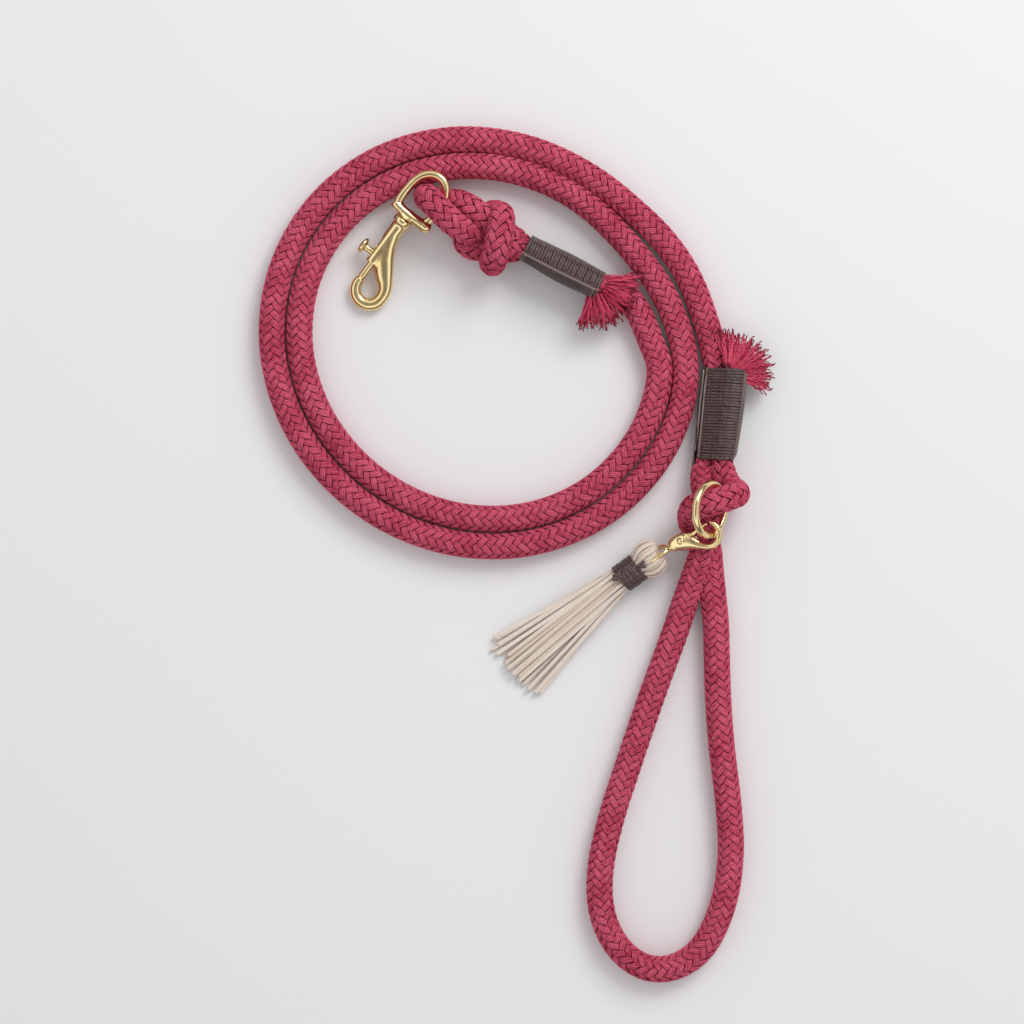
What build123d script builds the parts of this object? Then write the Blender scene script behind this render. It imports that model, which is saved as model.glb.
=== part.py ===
from build123d import *

import math
import os

# Lead rope: one 12 mm cotton braid, coiled flat, with a hand loop at one end and a
# swivel bolt snap at the other. Each end is turned back on itself, knotted and laced
# into a leather collar. A brass ring on the hand knot carries a small trigger clasp
# with a tassel. Everything lies on the plane z = 0, +Y towards the coil.

# ---------------------------------------------------------------- driving dimensions
rope_diameter = 12.0
squeezed_diameter = 8.6     # the same rope where a knot or a lashing pulls it tight
turn_pitch = 12.4           # from one turn of the coil to the next
coil_centre_x = -16.6
coil_centre_y = 91.8
coil_mean_radius = 83.3     # to the line where the two turns touch
coil_ovality = 2.4
coil_ovality_angle = 143.0
coil_lean = 1.3
coil_lean_angle = -30.0
coil_first_angle = -10.0
coil_last_angle = -686.0
coil_corners = 33
step_out_angle = 50.0       # the turn moves out by one pitch over this much of a turn
first_step_out = 312.0
second_step_out = 672.0
arc_share = 0.45            # how much of the shorter run an arc takes at its corner

snap_origin = (-49.2, 142.7, 11.2)      # centre of the snap's collar
snap_heading = 52.3                     # of the snap's axis, from +X
snap_rise = 12.5                        # its hook lies on the ground, its eye on the coil
eye_wire = 2.9
eye_half_width = 7.8
eye_base = 4.7
eye_top = 23.3
bar_depth = 5.4
bar_length = 19.0
bar_thickness = 3.0
swivel_shank = 3.2
swivel_bore = 3.3
swivel_head = 4.8
swivel_pocket = 5.4
barrel_diameter = 7.0
barrel_end = -22.8
collar_diameter = 8.6
hook_centre = (-32.2, -5.8)
hook_outer = 8.7
hook_inner = 3.9
hook_thickness = 4.6
bolt_diameter = 2.9
bolt_bore = 3.0
bolt_tip = -31.2
bolt_back = -16.0
knob_place = -19.0
knob_diameter = 7.6
knob_thickness = 2.3
knob_out = 6.4
knob_rounding = 0.9
stem_diameter = 2.3
slot_width = 2.5
bolt_travel = 6.5

ring_wire = 3.0
ring_mean_radius = 11.0
ring_centre = (83.8, 18.7, 24.0)
ring_low_end = (0.1, -0.966, -0.236)    # from the ring's centre to its lowest point
ring_tilt_side = (0.8, 0.15, 0.58)      # roughly the ring's normal

clasp_origin = (82.6, 7.9, 21.5)        # centre of the clasp's hook
clasp_heading = 199.0
clasp_fall = -20.0
clasp_mean_radius = 5.2
clasp_wire = 2.4
clasp_tip_angle = 236.0
clasp_body_start = 5.0
clasp_body_end = 17.2
clasp_body_thickness = 4.2
gate_pivot = (8.2, -1.9)
gate_tip = (-1.7, -4.84)
gate_wire = 1.3
gate_pin_diameter = 1.2
gate_pin_bore = 1.3
gate_slot = 1.9
swivel_neck = 2.0
swivel_neck_bore = 2.1
clasp_eye_wire = 1.6
clasp_eye_start = 19.2
clasp_eye_end = 28.6
clasp_eye_half_height = 3.0

leather_thickness = 0.9
collar_clearance = 0.32
twine_pitch = 1.32
twine_relief = 0.35         # how far a turn of twine stands out of the ground
turn_start_share = 0.2      # of the pitch: the gap before each turn
turn_width_share = 0.7
lip_gap = 0.15
snap_collar_start = (4.0, 131.4)
snap_collar_end = (35.6, 115.4)
snap_collar_ropes = ((1.1, 5.75), (-1.0, 14.5))     # across the collar, and up
snap_lip_line = ((1.5, 14.2), -58.0)                # a point on it, and its slope
hand_collar_start = (90.1, 79.6)
hand_collar_end = (86.3, 41.4)
hand_collar_ropes = ((-3.6, 5.55), (3.6, 11.1))
hand_lip_line = ((0.0, 9.9), 16.0)
fringe_reach = 17.0
fringe_thickness = 4.2
fringe_floor = 12.5                                 # it lies over the rope beside it
snap_fringe_apex = (37.6, 113.6)
snap_fringe_angles = (-112.0, 10.0)
hand_fringe_apex = (94.0, 82.4)
hand_fringe_angles = (-10.0, 112.0)

tassel_heading = 215.8               # from the head to the strands' tips
head_length = 13.4
head_diameter = 16.6
lashing_place = (49.0, -8.4, 7.0)
lashing_turns = 8
lashing_length = 9.6
lashing_diameter = 13.6
strand_length = 58.0
strand_spread = 33.0
strand_drift = 6.0                   # the tips hang to one side of the tassel's own line
strand_thickness = 5.0

# ---------------------------------------------------------------- the rope's route
# Snap end, from the frayed end through the collar, round the knot, out through the
# snap's eye and back through the knot and the collar.
snap_tail_route = [
    (37.1, 113.8, 14.4), (25.1, 119.7, 14.6), (13.1, 125.7, 14.4), (2.2, 131.2, 14.5),
    (-5.4, 130.6, 15.2), (-12.4, 130.0, 14.8), (-19.5, 129.2, 15.2), (-27.0, 131.2, 11.4),
    (-29.4, 137.4, 5.4), (-23.4, 144.4, 4.7), (-15.8, 151.2, 5.0), (-8.8, 155.0, 11.0),
]
snap_wrap_route = [
    (-5.6, 151.4, 20.5), (-5.6, 142.0, 26.6), (-6.8, 132.4, 26.6), (-8.6, 122.2, 22.6),
    (-9.0, 116.4, 13.0), (-9.6, 120.4, 4.8), (-11.0, 129.0, 4.7),
]
snap_bight_route = [
    (-15.0, 135.2, 7.4), (-20.6, 139.2, 14.6), (-25.6, 141.8, 18.8), (-30.4, 145.4, 21.8),
    (-36.4, 150.6, 22.2), (-40.8, 154.8, 13.2), (-36.8, 152.4, 4.8), (-30.0, 151.8, 5.2),
    (-24.8, 152.8, 11.2),
]
snap_standing_route = [
    (-19.4, 150.8, 16.2), (-14.0, 147.0, 17.0), (-9.4, 142.6, 15.4), (-4.0, 138.8, 10.6),
    (2.6, 133.4, 5.9), (12.4, 128.4, 5.6), (23.9, 122.6, 5.7), (36.2, 116.3, 5.8),
]
# Out of the collar and into the coil.
lead_out_route = [(45.1, 113.8, 5.9), (52.3, 106.1, 6.0), (57.2, 94.0, 6.0)]
# Off the coil and into the hand end's collar.
lead_in_route = [(74.0, 128.0, 6.0), (81.4, 114.0, 6.0), (85.4, 101.0, 6.0), (87.0, 89.4, 5.9)]
# Hand end: through the collar, under the wrap and down the loop's left leg.
hand_standing_route = [
    (86.4, 78.4, 5.6), (85.5, 68.6, 5.5), (84.3, 58.4, 5.6), (83.3, 48.2, 5.5),
    (82.1, 38.2, 5.7), (80.4, 29.4, 8.6), (82.2, 22.4, 12.4), (83.0, 14.4, 13.8),
    (81.8, 6.6, 13.3), (79.4, -1.8, 10.8), (76.8, -10.0, 8.0),
]
hand_loop_route = [
    (73.4, -19.4, 6.2), (68.0, -35.4, 6.0), (61.3, -52.9, 6.0), (54.2, -72.8, 6.0),
    (47.3, -93.5, 6.0), (40.8, -114.3, 6.0), (36.1, -135.0, 6.0), (35.6, -154.9, 6.0),
    (41.3, -172.2, 6.0), (53.4, -182.1, 6.0), (66.7, -180.8, 6.0), (80.1, -170.4, 6.0),
    (89.6, -152.3, 6.0), (93.1, -131.5, 6.0), (91.8, -108.2, 6.0), (89.2, -87.5, 6.0),
    (87.0, -65.9, 6.0), (86.2, -46.3, 6.0), (86.6, -30.0, 6.0), (87.6, -17.0, 6.0),
]
hand_wrap_route = [
    (88.2, -6.0, 5.6), (88.3, 3.0, 5.2), (84.0, 9.6, 4.7), (77.4, 12.4, 4.6),
    (71.0, 13.0, 6.0), (66.8, 15.8, 11.6), (68.8, 19.6, 18.8), (75.4, 20.8, 23.0),
    (83.2, 21.0, 23.8), (91.0, 21.6, 22.6), (97.6, 22.8, 18.6), (101.6, 25.4, 12.6),
    (100.0, 30.4, 7.8), (93.6, 32.6, 8.0), (89.6, 38.0, 10.95), (90.5, 47.6, 11.15),
    (91.4, 56.0, 11.05), (92.2, 64.8, 11.15), (93.1, 73.0, 11.05), (93.8, 81.0, 11.1),
]


def smooth_step(share):
    share = min(1.0, max(0.0, share))
    return share * share * (3 - 2 * share)


def coil_route():
    """The coil's two turns: slightly oval, stepping out one pitch where they pass."""
    corners = []
    turned = (coil_last_angle - coil_first_angle) / (coil_corners - 1)
    for index in range(coil_corners):
        angle = coil_first_angle + turned * index
        oval = math.cos(2 * math.radians(angle - coil_ovality_angle))
        lean = math.cos(math.radians(angle - coil_lean_angle))
        steps = smooth_step((-angle - first_step_out) / step_out_angle)
        steps += smooth_step((-angle - second_step_out) / step_out_angle)
        line = coil_mean_radius + coil_ovality * oval + coil_lean * lean
        reach = (line + turn_pitch * (steps - 0.5)) / math.cos(math.radians(turned / 2))
        x = coil_centre_x + reach * math.cos(math.radians(angle))
        y = coil_centre_y + reach * math.sin(math.radians(angle))
        corners.append((x, y, rope_diameter / 2))
    return corners


def midpoint(first, second):
    return tuple((a + b) / 2 for a, b in zip(first, second))


def corner_radii(corners):
    """The arc at each corner takes arc_share of its shorter run."""
    radii = []
    for before, corner, after in zip(corners, corners[1:], corners[2:]):
        arriving = Vector(corner) - Vector(before)
        leaving = Vector(after) - Vector(corner)
        half_turn = math.radians(arriving.get_angle(leaving)) / 2
        shorter = min(arriving.length, leaving.length)
        radii.append(arc_share * shorter / math.tan(half_turn))
    return radii


def write(part, name):
    part.label = name
    export_step(part, f"parts/{name}.step")


os.makedirs("parts", exist_ok=True)

# ---------------------------------------------------------------- the rope, in stretches
coil = coil_route()
half_coil = coil_corners // 2
stretches = [
    ("snap_knot_tail", snap_tail_route, squeezed_diameter),
    ("snap_knot_wrap", snap_wrap_route, squeezed_diameter),
    ("snap_bight", snap_bight_route, squeezed_diameter),
    ("snap_knot_standing_part", snap_standing_route, squeezed_diameter),
    ("lead_inner_turn", lead_out_route + coil[:half_coil], rope_diameter),
    ("lead_outer_turn", coil[half_coil:] + lead_in_route, rope_diameter),
    ("hand_knot_standing_part", hand_standing_route, squeezed_diameter),
    ("hand_loop", hand_loop_route, rope_diameter),
    ("hand_knot_wrap", hand_wrap_route, squeezed_diameter),
]
whole_route = [corner for _, route, _ in stretches for corner in route]
whole_radii = [None] + corner_radii(whole_route) + [None]

# Each stretch starts and ends half way along a run, so that its end faces meet the next.
first_corner = 0
for name, route, diameter in stretches:
    after_last = first_corner + len(route)
    corners = list(route)
    radii = [radius for radius in whole_radii[first_corner:after_last] if radius]
    if first_corner > 0:
        corners.insert(0, midpoint(whole_route[first_corner - 1], route[0]))
    if after_last < len(whole_route):
        corners.append(midpoint(route[-1], whole_route[after_last]))
    with BuildPart() as tube:
        with BuildLine() as path:
            FilletPolyline(*corners, radius=radii)
        with BuildSketch(path.wire() ^ 0):
            Circle(diameter / 2)
        sweep()
    length = path.wire().length
    volume_share = tube.part.volume / (math.pi * diameter**2 / 4 * length)
    print(name, "length", round(length, 1), "volume share", round(volume_share, 4))
    print("  radii", [round(radius, 1) for radius in radii])
    write(tube.part, name)
    first_corner = after_last

# ---------------------------------------------------------------- collars and lacing
# A collar is a straight leather trough round the doubled rope. Its two lips leave a
# slot along the top, and close turns of waxed twine lace across that slot.


def make_collar(name, lacing_name, start, end, ropes, lip_line):
    run = Vector(end[0] - start[0], end[1] - start[1], 0)
    length = run.length
    axis = run.normalized()
    across = Plane(origin=(start[0], start[1], 0), x_dir=(-axis.Y, axis.X, 0), z_dir=axis)
    spread = Vector(*ropes[1]) - Vector(*ropes[0])
    middle = (Vector(*ropes[1]) + Vector(*ropes[0])) * 0.5
    slope = math.degrees(math.atan2(spread.Y, spread.X))
    inner = squeezed_diameter + 2 * collar_clearance
    outer = inner + 2 * leather_thickness
    lip_point, lip_slope = lip_line
    beyond = 4 * outer

    def band(size):
        with Locations(Location((middle.X, middle.Y, 0), (0, 0, slope))):
            SlotCenterToCenter(spread.length, size)
            SlotCenterToCenter(spread.length, inner, mode=Mode.SUBTRACT)

    def open_side(raised, mode):
        with Locations(Location((*lip_point, 0), (0, 0, lip_slope))):
            with Locations((0, raised)):
                Rectangle(beyond, beyond, align=(Align.CENTER, Align.MIN), mode=mode)

    with BuildPart() as leather:
        with BuildSketch(across):
            band(outer)
            open_side(0, Mode.SUBTRACT)
        extrude(amount=length)
    write(leather.part, name)

    turns = int(length / twine_pitch)
    with BuildPart() as lacing:
        with BuildSketch(across):
            band(outer - 2 * twine_relief)
            open_side(lip_gap, Mode.INTERSECT)
        extrude(amount=length)
        for turn in range(turns):
            with BuildSketch(across.offset(twine_pitch * (turn + turn_start_share))):
                band(outer)
                open_side(lip_gap, Mode.INTERSECT)
            extrude(amount=twine_pitch * turn_width_share)
    write(lacing.part, lacing_name)


make_collar("snap_collar", "snap_collar_lacing", snap_collar_start, snap_collar_end,
            snap_collar_ropes, snap_lip_line)
make_collar("hand_collar", "hand_collar_lacing", hand_collar_start, hand_collar_end,
            hand_collar_ropes, hand_lip_line)


def make_fringe(name, apex, angles):
    """The unlaid yarns at a rope's end, as a flat fan over the rope beside it."""
    first, last = angles
    with BuildPart() as fringe:
        with BuildSketch(Plane.XY.offset(fringe_floor)):
            with BuildLine():
                rim = CenterArc(apex, fringe_reach, first, last - first)
                Line(apex, rim @ 0)
                Line(apex, rim @ 1)
            make_face()
        extrude(amount=fringe_thickness)
    write(fringe.part, name)


make_fringe("snap_end_fringe", snap_fringe_apex, snap_fringe_angles)
make_fringe("hand_end_fringe", hand_fringe_apex, hand_fringe_angles)


def tilted_plane(origin, heading, rise):
    """x runs along a heading and rises, y stays level, z is up and square to both."""
    turn, lift = math.radians(heading), math.radians(rise)
    along = (math.cos(turn) * math.cos(lift), math.sin(turn) * math.cos(lift), math.sin(lift))
    up = (-math.cos(turn) * math.sin(lift), -math.sin(turn) * math.sin(lift), math.cos(lift))
    return Plane(origin=origin, x_dir=along, z_dir=up)


def section_at(plane, along, side=0.0, height=0.0):
    """Stands across the plane's x at a place along it: its x is the plane's y."""
    origin = plane.from_local_coords(Vector(along, side, height))
    return Plane(origin=origin, x_dir=plane.y_dir, z_dir=plane.x_dir)


def lying_section(plane, along, side, height=0.0):
    """Faces the plane's y at a place on it: its x is the plane's x."""
    origin = plane.from_local_coords(Vector(along, side, height))
    return Plane(origin=origin, x_dir=plane.x_dir, z_dir=plane.y_dir)


# ---------------------------------------------------------------- the swivel bolt snap
snap = tilted_plane(snap_origin, snap_heading, snap_rise)
corner_radius = 2.6
eye_seam = 0.5              # half the cut in the eye's wire, hidden in the bar
collar_back = -1.4
collar_front = 1.2
boss_diameter = 5.4
boss_start = 1.4
head_start = -6.2
head_end = -4.7
pocket_start = -6.6
pocket_end = -4.4

with BuildPart() as snap_eye:
    with BuildLine(snap) as eye_path:
        leg_end = eye_top - eye_half_width
        low = eye_base + corner_radius
        side = eye_half_width - corner_radius
        Line((eye_base, eye_seam), (eye_base, side))
        CenterArc((low, side), corner_radius, 180, -90)
        Line((low, eye_half_width), (leg_end, eye_half_width))
        CenterArc((leg_end, 0), eye_half_width, 90, -180)
        Line((leg_end, -eye_half_width), (low, -eye_half_width))
        CenterArc((low, -side), corner_radius, 270, -90)
        Line((eye_base, -side), (eye_base, -eye_seam))
    with BuildSketch(eye_path.wire() ^ 0):
        Circle(eye_wire / 2)
    sweep()
    with BuildSketch(section_at(snap, eye_base - bar_thickness / 2)):
        SlotOverall(bar_length, bar_depth)
    extrude(amount=bar_thickness)
    with BuildSketch(section_at(snap, boss_start)):
        Circle(boss_diameter / 2)
    extrude(amount=eye_base - boss_start)
    with BuildSketch(section_at(snap, head_end)):
        Circle(swivel_shank / 2)
    extrude(amount=eye_base - head_end)
    with BuildSketch(section_at(snap, head_start)):
        Circle(swivel_head / 2)
    extrude(amount=head_end - head_start)
write(snap_eye.part, "snap_eye")

# The web joins the barrel to the hook's ring, and the throat is the way into the hook
# that the bolt closes.
tip_face = bolt_tip - 0.1
throat_side = -2.4
throat_top = 2.0
throat_outline = [(-30.6, -9.3), (-25.0, -2.6), (-24.4, throat_side), (-34.0, throat_side)]
web_half_width = 2.6
web_start = -8.5
web_curve = [(web_start, -web_half_width), (-15.0, -5.0), (-21.0, -10.2), (-28.0, -13.4)]
web_inside = [web_curve[-1], (-34.0, -6.0), (barrel_end, web_half_width),
              (web_start, web_half_width), web_curve[0]]
bore_overrun = 1.0
slot_play = 0.1
slot_back = knob_place - slot_width / 2 - slot_play
slot_front = knob_place + bolt_travel + slot_width / 2 + slot_play
with BuildPart() as snap_body:
    with BuildSketch(section_at(snap, barrel_end)):
        Circle(barrel_diameter / 2)
    extrude(amount=collar_back - barrel_end)
    with BuildSketch(section_at(snap, collar_back)):
        Circle(collar_diameter / 2)
    extrude(amount=collar_front - collar_back)
    with BuildSketch(snap.offset(-hook_thickness / 2)):
        with Locations(hook_centre):
            Circle(hook_outer)
        with BuildLine():
            Spline(*web_curve)
            Polyline(*web_inside)
        make_face()
        with Locations(hook_centre):
            Circle(hook_inner, mode=Mode.SUBTRACT)
        with BuildLine():
            Polyline(*throat_outline, close=True)
        make_face(mode=Mode.SUBTRACT)
        with Locations(((tip_face + barrel_end) / 2, throat_top)):
            Rectangle(barrel_end - tip_face, 2 * (throat_top - throat_side), mode=Mode.SUBTRACT)
    extrude(amount=hook_thickness)
    with BuildSketch(section_at(snap, barrel_end - bore_overrun)):
        Circle(bolt_bore / 2)
    extrude(amount=pocket_start - barrel_end + 2 * bore_overrun, mode=Mode.SUBTRACT)
    with BuildSketch(section_at(snap, pocket_start)):
        Circle(swivel_pocket / 2)
    extrude(amount=pocket_end - pocket_start, mode=Mode.SUBTRACT)
    with BuildSketch(section_at(snap, pocket_end - bore_overrun / 2)):
        Circle(swivel_bore / 2)
    extrude(amount=collar_front - pocket_end + bore_overrun, mode=Mode.SUBTRACT)
    with BuildSketch(lying_section(snap, (slot_back + slot_front) / 2, 0)):
        SlotOverall(slot_front - slot_back, slot_width)
    extrude(amount=barrel_diameter, mode=Mode.SUBTRACT)
write(snap_body.part, "snap_body")

with BuildPart() as bolt:
    with BuildSketch(section_at(snap, bolt_tip)):
        Circle(bolt_diameter / 2)
    extrude(amount=bolt_back - bolt_tip)
    with BuildSketch(lying_section(snap, knob_place, 0)):
        Circle(stem_diameter / 2)
    extrude(amount=knob_out)
write(bolt.part, "bolt")

with BuildPart() as thumb_knob:
    with BuildSketch(lying_section(snap, knob_place, knob_out)):
        Circle(knob_diameter / 2)
    extrude(amount=knob_thickness)
    fillet(thumb_knob.edges().filter_by(GeomType.CIRCLE), knob_rounding)
write(thumb_knob.part, "thumb_knob")

spring_outer = 2.7
spring_inner = 2.0
spring_play = 0.05
with BuildPart() as bolt_spring:
    with BuildSketch(section_at(snap, bolt_back + spring_play)):
        Circle(spring_outer / 2)
        Circle(spring_inner / 2, mode=Mode.SUBTRACT)
    extrude(amount=pocket_start - bolt_back - 2 * spring_play)
write(bolt_spring.part, "bolt_spring")

# ---------------------------------------------------------------- the tassel's ring
low_end = Vector(*ring_low_end).normalized()
tilt = Vector(*ring_tilt_side)
ring_axis = (tilt - low_end * tilt.dot(low_end)).normalized()
ring_plane = Plane(origin=ring_centre, x_dir=low_end, z_dir=ring_axis)
with BuildPart() as tassel_ring:
    with BuildSketch(Plane(origin=ring_centre, x_dir=low_end, z_dir=ring_plane.y_dir)):
        with Locations((ring_mean_radius, 0)):
            Circle(ring_wire / 2)
    revolve(axis=Axis(ring_centre, ring_axis))
write(tassel_ring.part, "tassel_ring")

# ---------------------------------------------------------------- the trigger clasp
clasp = tilted_plane(clasp_origin, clasp_heading, clasp_fall)
clasp_root_angle = 14.0
neck_end = 20.6
neck_head_start = 14.6
neck_head_end = 15.8
neck_head_diameter = 3.0
neck_pocket_diameter = 3.3
neck_pocket_start = 14.4
neck_pocket_end = 16.1
gate_boss_diameter = 2.8
gate_boss_thickness = 1.6
gate_slot_floor = -0.4
gate_slot_start = 3.0
gate_slot_length = 8.0
gate_slot_depth = 6.0
gate_spring_play = 0.1
neck_bore_depth = 3.0
neck_bore_start = 15.9
clasp_outline = [(clasp_body_start, -2.3), (8.0, -3.2), (13.0, -3.2), (clasp_body_end, -2.4),
                 (clasp_body_end, 1.8), (13.0, 2.6), (8.0, 3.4), (3.6, 4.6), (4.2, 1.2)]
gate_spring_place = 6.0
gate_spring_diameter = 1.0
gate_spring_low = -1.7
gate_spring_high = 0.6
with BuildPart() as clasp_body:
    with BuildLine(clasp) as hook_path:
        CenterArc((0, 0), clasp_mean_radius, clasp_root_angle,
                  clasp_tip_angle - clasp_root_angle)
    with BuildSketch(hook_path.wire() ^ 0):
        Circle(clasp_wire / 2)
    sweep()
    with BuildSketch(clasp.offset(-clasp_body_thickness / 2)):
        with BuildLine():
            Polyline(*clasp_outline, close=True)
        make_face()
    extrude(amount=clasp_body_thickness)
    with BuildSketch(clasp.offset(-gate_slot / 2)):
        with Locations((gate_slot_start, gate_slot_floor)):
            Rectangle(gate_slot_length, gate_slot_depth, align=(Align.MIN, Align.MAX))
    extrude(amount=gate_slot, mode=Mode.SUBTRACT)
    with BuildSketch(clasp.offset(-clasp_body_thickness)):
        with Locations(gate_pivot):
            Circle(gate_pin_bore / 2)
    extrude(amount=2 * clasp_body_thickness, mode=Mode.SUBTRACT)
    with BuildSketch(lying_section(clasp, gate_spring_place, gate_slot_floor - gate_spring_play)):
        Circle(gate_spring_diameter / 2 + gate_spring_play)
    extrude(amount=gate_spring_high - gate_slot_floor + 2 * gate_spring_play, mode=Mode.SUBTRACT)
    with BuildSketch(section_at(clasp, neck_pocket_start)):
        Circle(neck_pocket_diameter / 2)
    extrude(amount=neck_pocket_end - neck_pocket_start, mode=Mode.SUBTRACT)
    with BuildSketch(section_at(clasp, neck_bore_start)):
        Circle(swivel_neck_bore / 2)
    extrude(amount=neck_bore_depth, mode=Mode.SUBTRACT)
write(clasp_body.part, "clasp_body")

with BuildPart() as gate_pin:
    with BuildSketch(clasp.offset(-clasp_body_thickness / 2)):
        with Locations(gate_pivot):
            Circle(gate_pin_diameter / 2)
    extrude(amount=clasp_body_thickness)
write(gate_pin.part, "gate_pin")

with BuildPart() as clasp_gate:
    with BuildSketch(clasp.offset(-gate_boss_thickness / 2)):
        with Locations(gate_pivot):
            Circle(gate_boss_diameter / 2)
    extrude(amount=gate_boss_thickness)
    with BuildLine(clasp) as gate_path:
        Line(gate_pivot, gate_tip)
    with BuildSketch(gate_path.wire() ^ 0):
        Circle(gate_wire / 2)
    sweep()
    with BuildSketch(clasp.offset(-clasp_body_thickness)):
        with Locations(gate_pivot):
            Circle(gate_pin_bore / 2)
    extrude(amount=2 * clasp_body_thickness, mode=Mode.SUBTRACT)
write(clasp_gate.part, "clasp_gate")

with BuildPart() as gate_spring:
    with BuildSketch(lying_section(clasp, gate_spring_place, gate_spring_low)):
        Circle(gate_spring_diameter / 2)
    extrude(amount=gate_spring_high - gate_spring_low)
write(gate_spring.part, "gate_spring")

eye_side = Plane(origin=clasp.origin, x_dir=clasp.x_dir, z_dir=-clasp.y_dir)
loop_start = clasp_eye_start + clasp_eye_half_height + clasp_eye_wire / 2
loop_end = clasp_eye_end - clasp_eye_half_height - clasp_eye_wire / 2
loop_gap_angle = 12.0
with BuildPart() as clasp_eye:
    with BuildLine(eye_side) as loop_path:
        CenterArc((loop_start, 0), clasp_eye_half_height, 180 - loop_gap_angle,
                  loop_gap_angle - 90)
        Line((loop_start, clasp_eye_half_height), (loop_end, clasp_eye_half_height))
        CenterArc((loop_end, 0), clasp_eye_half_height, 90, -180)
        Line((loop_end, -clasp_eye_half_height), (loop_start, -clasp_eye_half_height))
        CenterArc((loop_start, 0), clasp_eye_half_height, 270, loop_gap_angle - 90)
    with BuildSketch(loop_path.wire() ^ 0):
        Circle(clasp_eye_wire / 2)
    sweep()
    with BuildSketch(section_at(clasp, neck_head_start)):
        Circle(swivel_neck / 2)
    extrude(amount=neck_end - neck_head_start)
    with BuildSketch(section_at(clasp, neck_head_start)):
        Circle(neck_head_diameter / 2)
    extrude(amount=neck_head_end - neck_head_start)
write(clasp_eye.part, "clasp_eye")

# ---------------------------------------------------------------- the tassel
tassel = tilted_plane(lashing_place, tassel_heading, 0)
core_diameter = 10.6
lashing_bore = 10.9
head_lift = 1.6
head_overlap = 0.6          # the head reaches this far under the lashing
head_middle = head_overlap - (lashing_length + head_length) / 2
eye_far_end = clasp.from_local_coords(Vector(clasp_eye_end - clasp_eye_wire / 2, 0, 0))
eye_room = tilted_plane(eye_far_end, clasp_heading + 180, 0)
eye_room_width = 5.0
eye_room_floor = -4.6
eye_room_back = -1.4
with BuildPart() as tassel_head:
    with BuildSketch(lying_section(tassel, head_middle, 0, head_lift)):
        Ellipse(head_length / 2, head_diameter / 2)
        Rectangle(head_length, head_diameter, align=(Align.CENTER, Align.MAX), mode=Mode.SUBTRACT)
    revolve(axis=Axis(tassel.offset(head_lift).origin, tassel.x_dir))
    with BuildSketch(section_at(tassel, head_middle)):
        Circle(core_diameter / 2)
    extrude(amount=lashing_length / 2 - head_middle)
    with BuildSketch(eye_room.offset(eye_room_floor)):
        with Locations((eye_room_back, 0)):
            Rectangle(head_length * 2, eye_room_width, align=(Align.MIN, Align.CENTER))
    extrude(amount=head_diameter * 2, mode=Mode.SUBTRACT)
write(tassel_head.part, "tassel_head")

turn_width = lashing_length / lashing_turns
with BuildPart() as tassel_lashing:
    with BuildSketch(tassel):
        with Locations((0, (lashing_bore + lashing_diameter) / 4)):
            Rectangle(lashing_length, (lashing_diameter - lashing_bore) / 2 - turn_width / 2)
        for turn in range(lashing_turns):
            along = (turn + 0.5) * turn_width - lashing_length / 2
            with Locations((along, lashing_diameter / 2 - turn_width / 2)):
                Circle(turn_width / 2)
    revolve(axis=Axis(tassel.origin, tassel.x_dir))
write(tassel_lashing.part, "tassel_lashing")

strand_gap = 0.1
strand_start = lashing_length / 2 + strand_gap
half_way_spread = 19.8
half_way_thickness = 7.2
half_way_drop = 2.2         # the strips sink from the lashing to the ground
tip_drop = 4.1
with BuildPart() as tassel_strands:
    with BuildSketch(section_at(tassel, strand_start)):
        Circle(core_diameter / 2)
    half_way = section_at(tassel, strand_start + strand_length / 2, strand_drift / 2, -half_way_drop)
    with BuildSketch(half_way):
        SlotOverall(half_way_spread, half_way_thickness)
    with BuildSketch(section_at(tassel, strand_start + strand_length, strand_drift, -tip_drop)):
        SlotOverall(strand_spread, strand_thickness)
    loft()
write(tassel_strands.part, "tassel_strands")
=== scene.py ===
# %% [markdown]
# # A coiled lead rope
# A lead rope is one length of round braid with a hand loop at one end and a bolt snap at
# the other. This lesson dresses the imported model: the rope is braided strand by strand, the
# brass is cast and polished, and the leather, twine and tassel are each made as the
# saddler makes them. The frame holds every piece at its real place, in metres.

# %% Load the frame
import math

import bpy
import numpy as np
from mathutils import Matrix, Vector


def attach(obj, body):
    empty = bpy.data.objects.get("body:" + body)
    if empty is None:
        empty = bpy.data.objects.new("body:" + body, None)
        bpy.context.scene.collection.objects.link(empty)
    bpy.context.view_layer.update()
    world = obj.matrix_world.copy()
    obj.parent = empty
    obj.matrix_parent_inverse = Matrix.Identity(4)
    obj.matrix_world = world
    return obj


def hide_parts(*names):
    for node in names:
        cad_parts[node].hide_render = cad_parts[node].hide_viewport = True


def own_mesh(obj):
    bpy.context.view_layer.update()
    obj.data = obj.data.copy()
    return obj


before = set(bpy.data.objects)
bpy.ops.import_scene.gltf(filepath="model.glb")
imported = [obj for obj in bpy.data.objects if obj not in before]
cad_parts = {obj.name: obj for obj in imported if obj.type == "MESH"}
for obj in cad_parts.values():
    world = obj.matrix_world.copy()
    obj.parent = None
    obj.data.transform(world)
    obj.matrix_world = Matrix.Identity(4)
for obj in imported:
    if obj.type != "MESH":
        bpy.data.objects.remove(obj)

MM = 0.001
full_turn = 2 * math.pi
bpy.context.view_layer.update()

# %% [markdown]
# ## The stage
# The rope lies on a pale floor and is seen from straight above. The camera stands well
# back, so that tall pieces lean outwards only a little. One big soft lamp stands to the
# upper right, and the sky fills the shadows.

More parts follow.
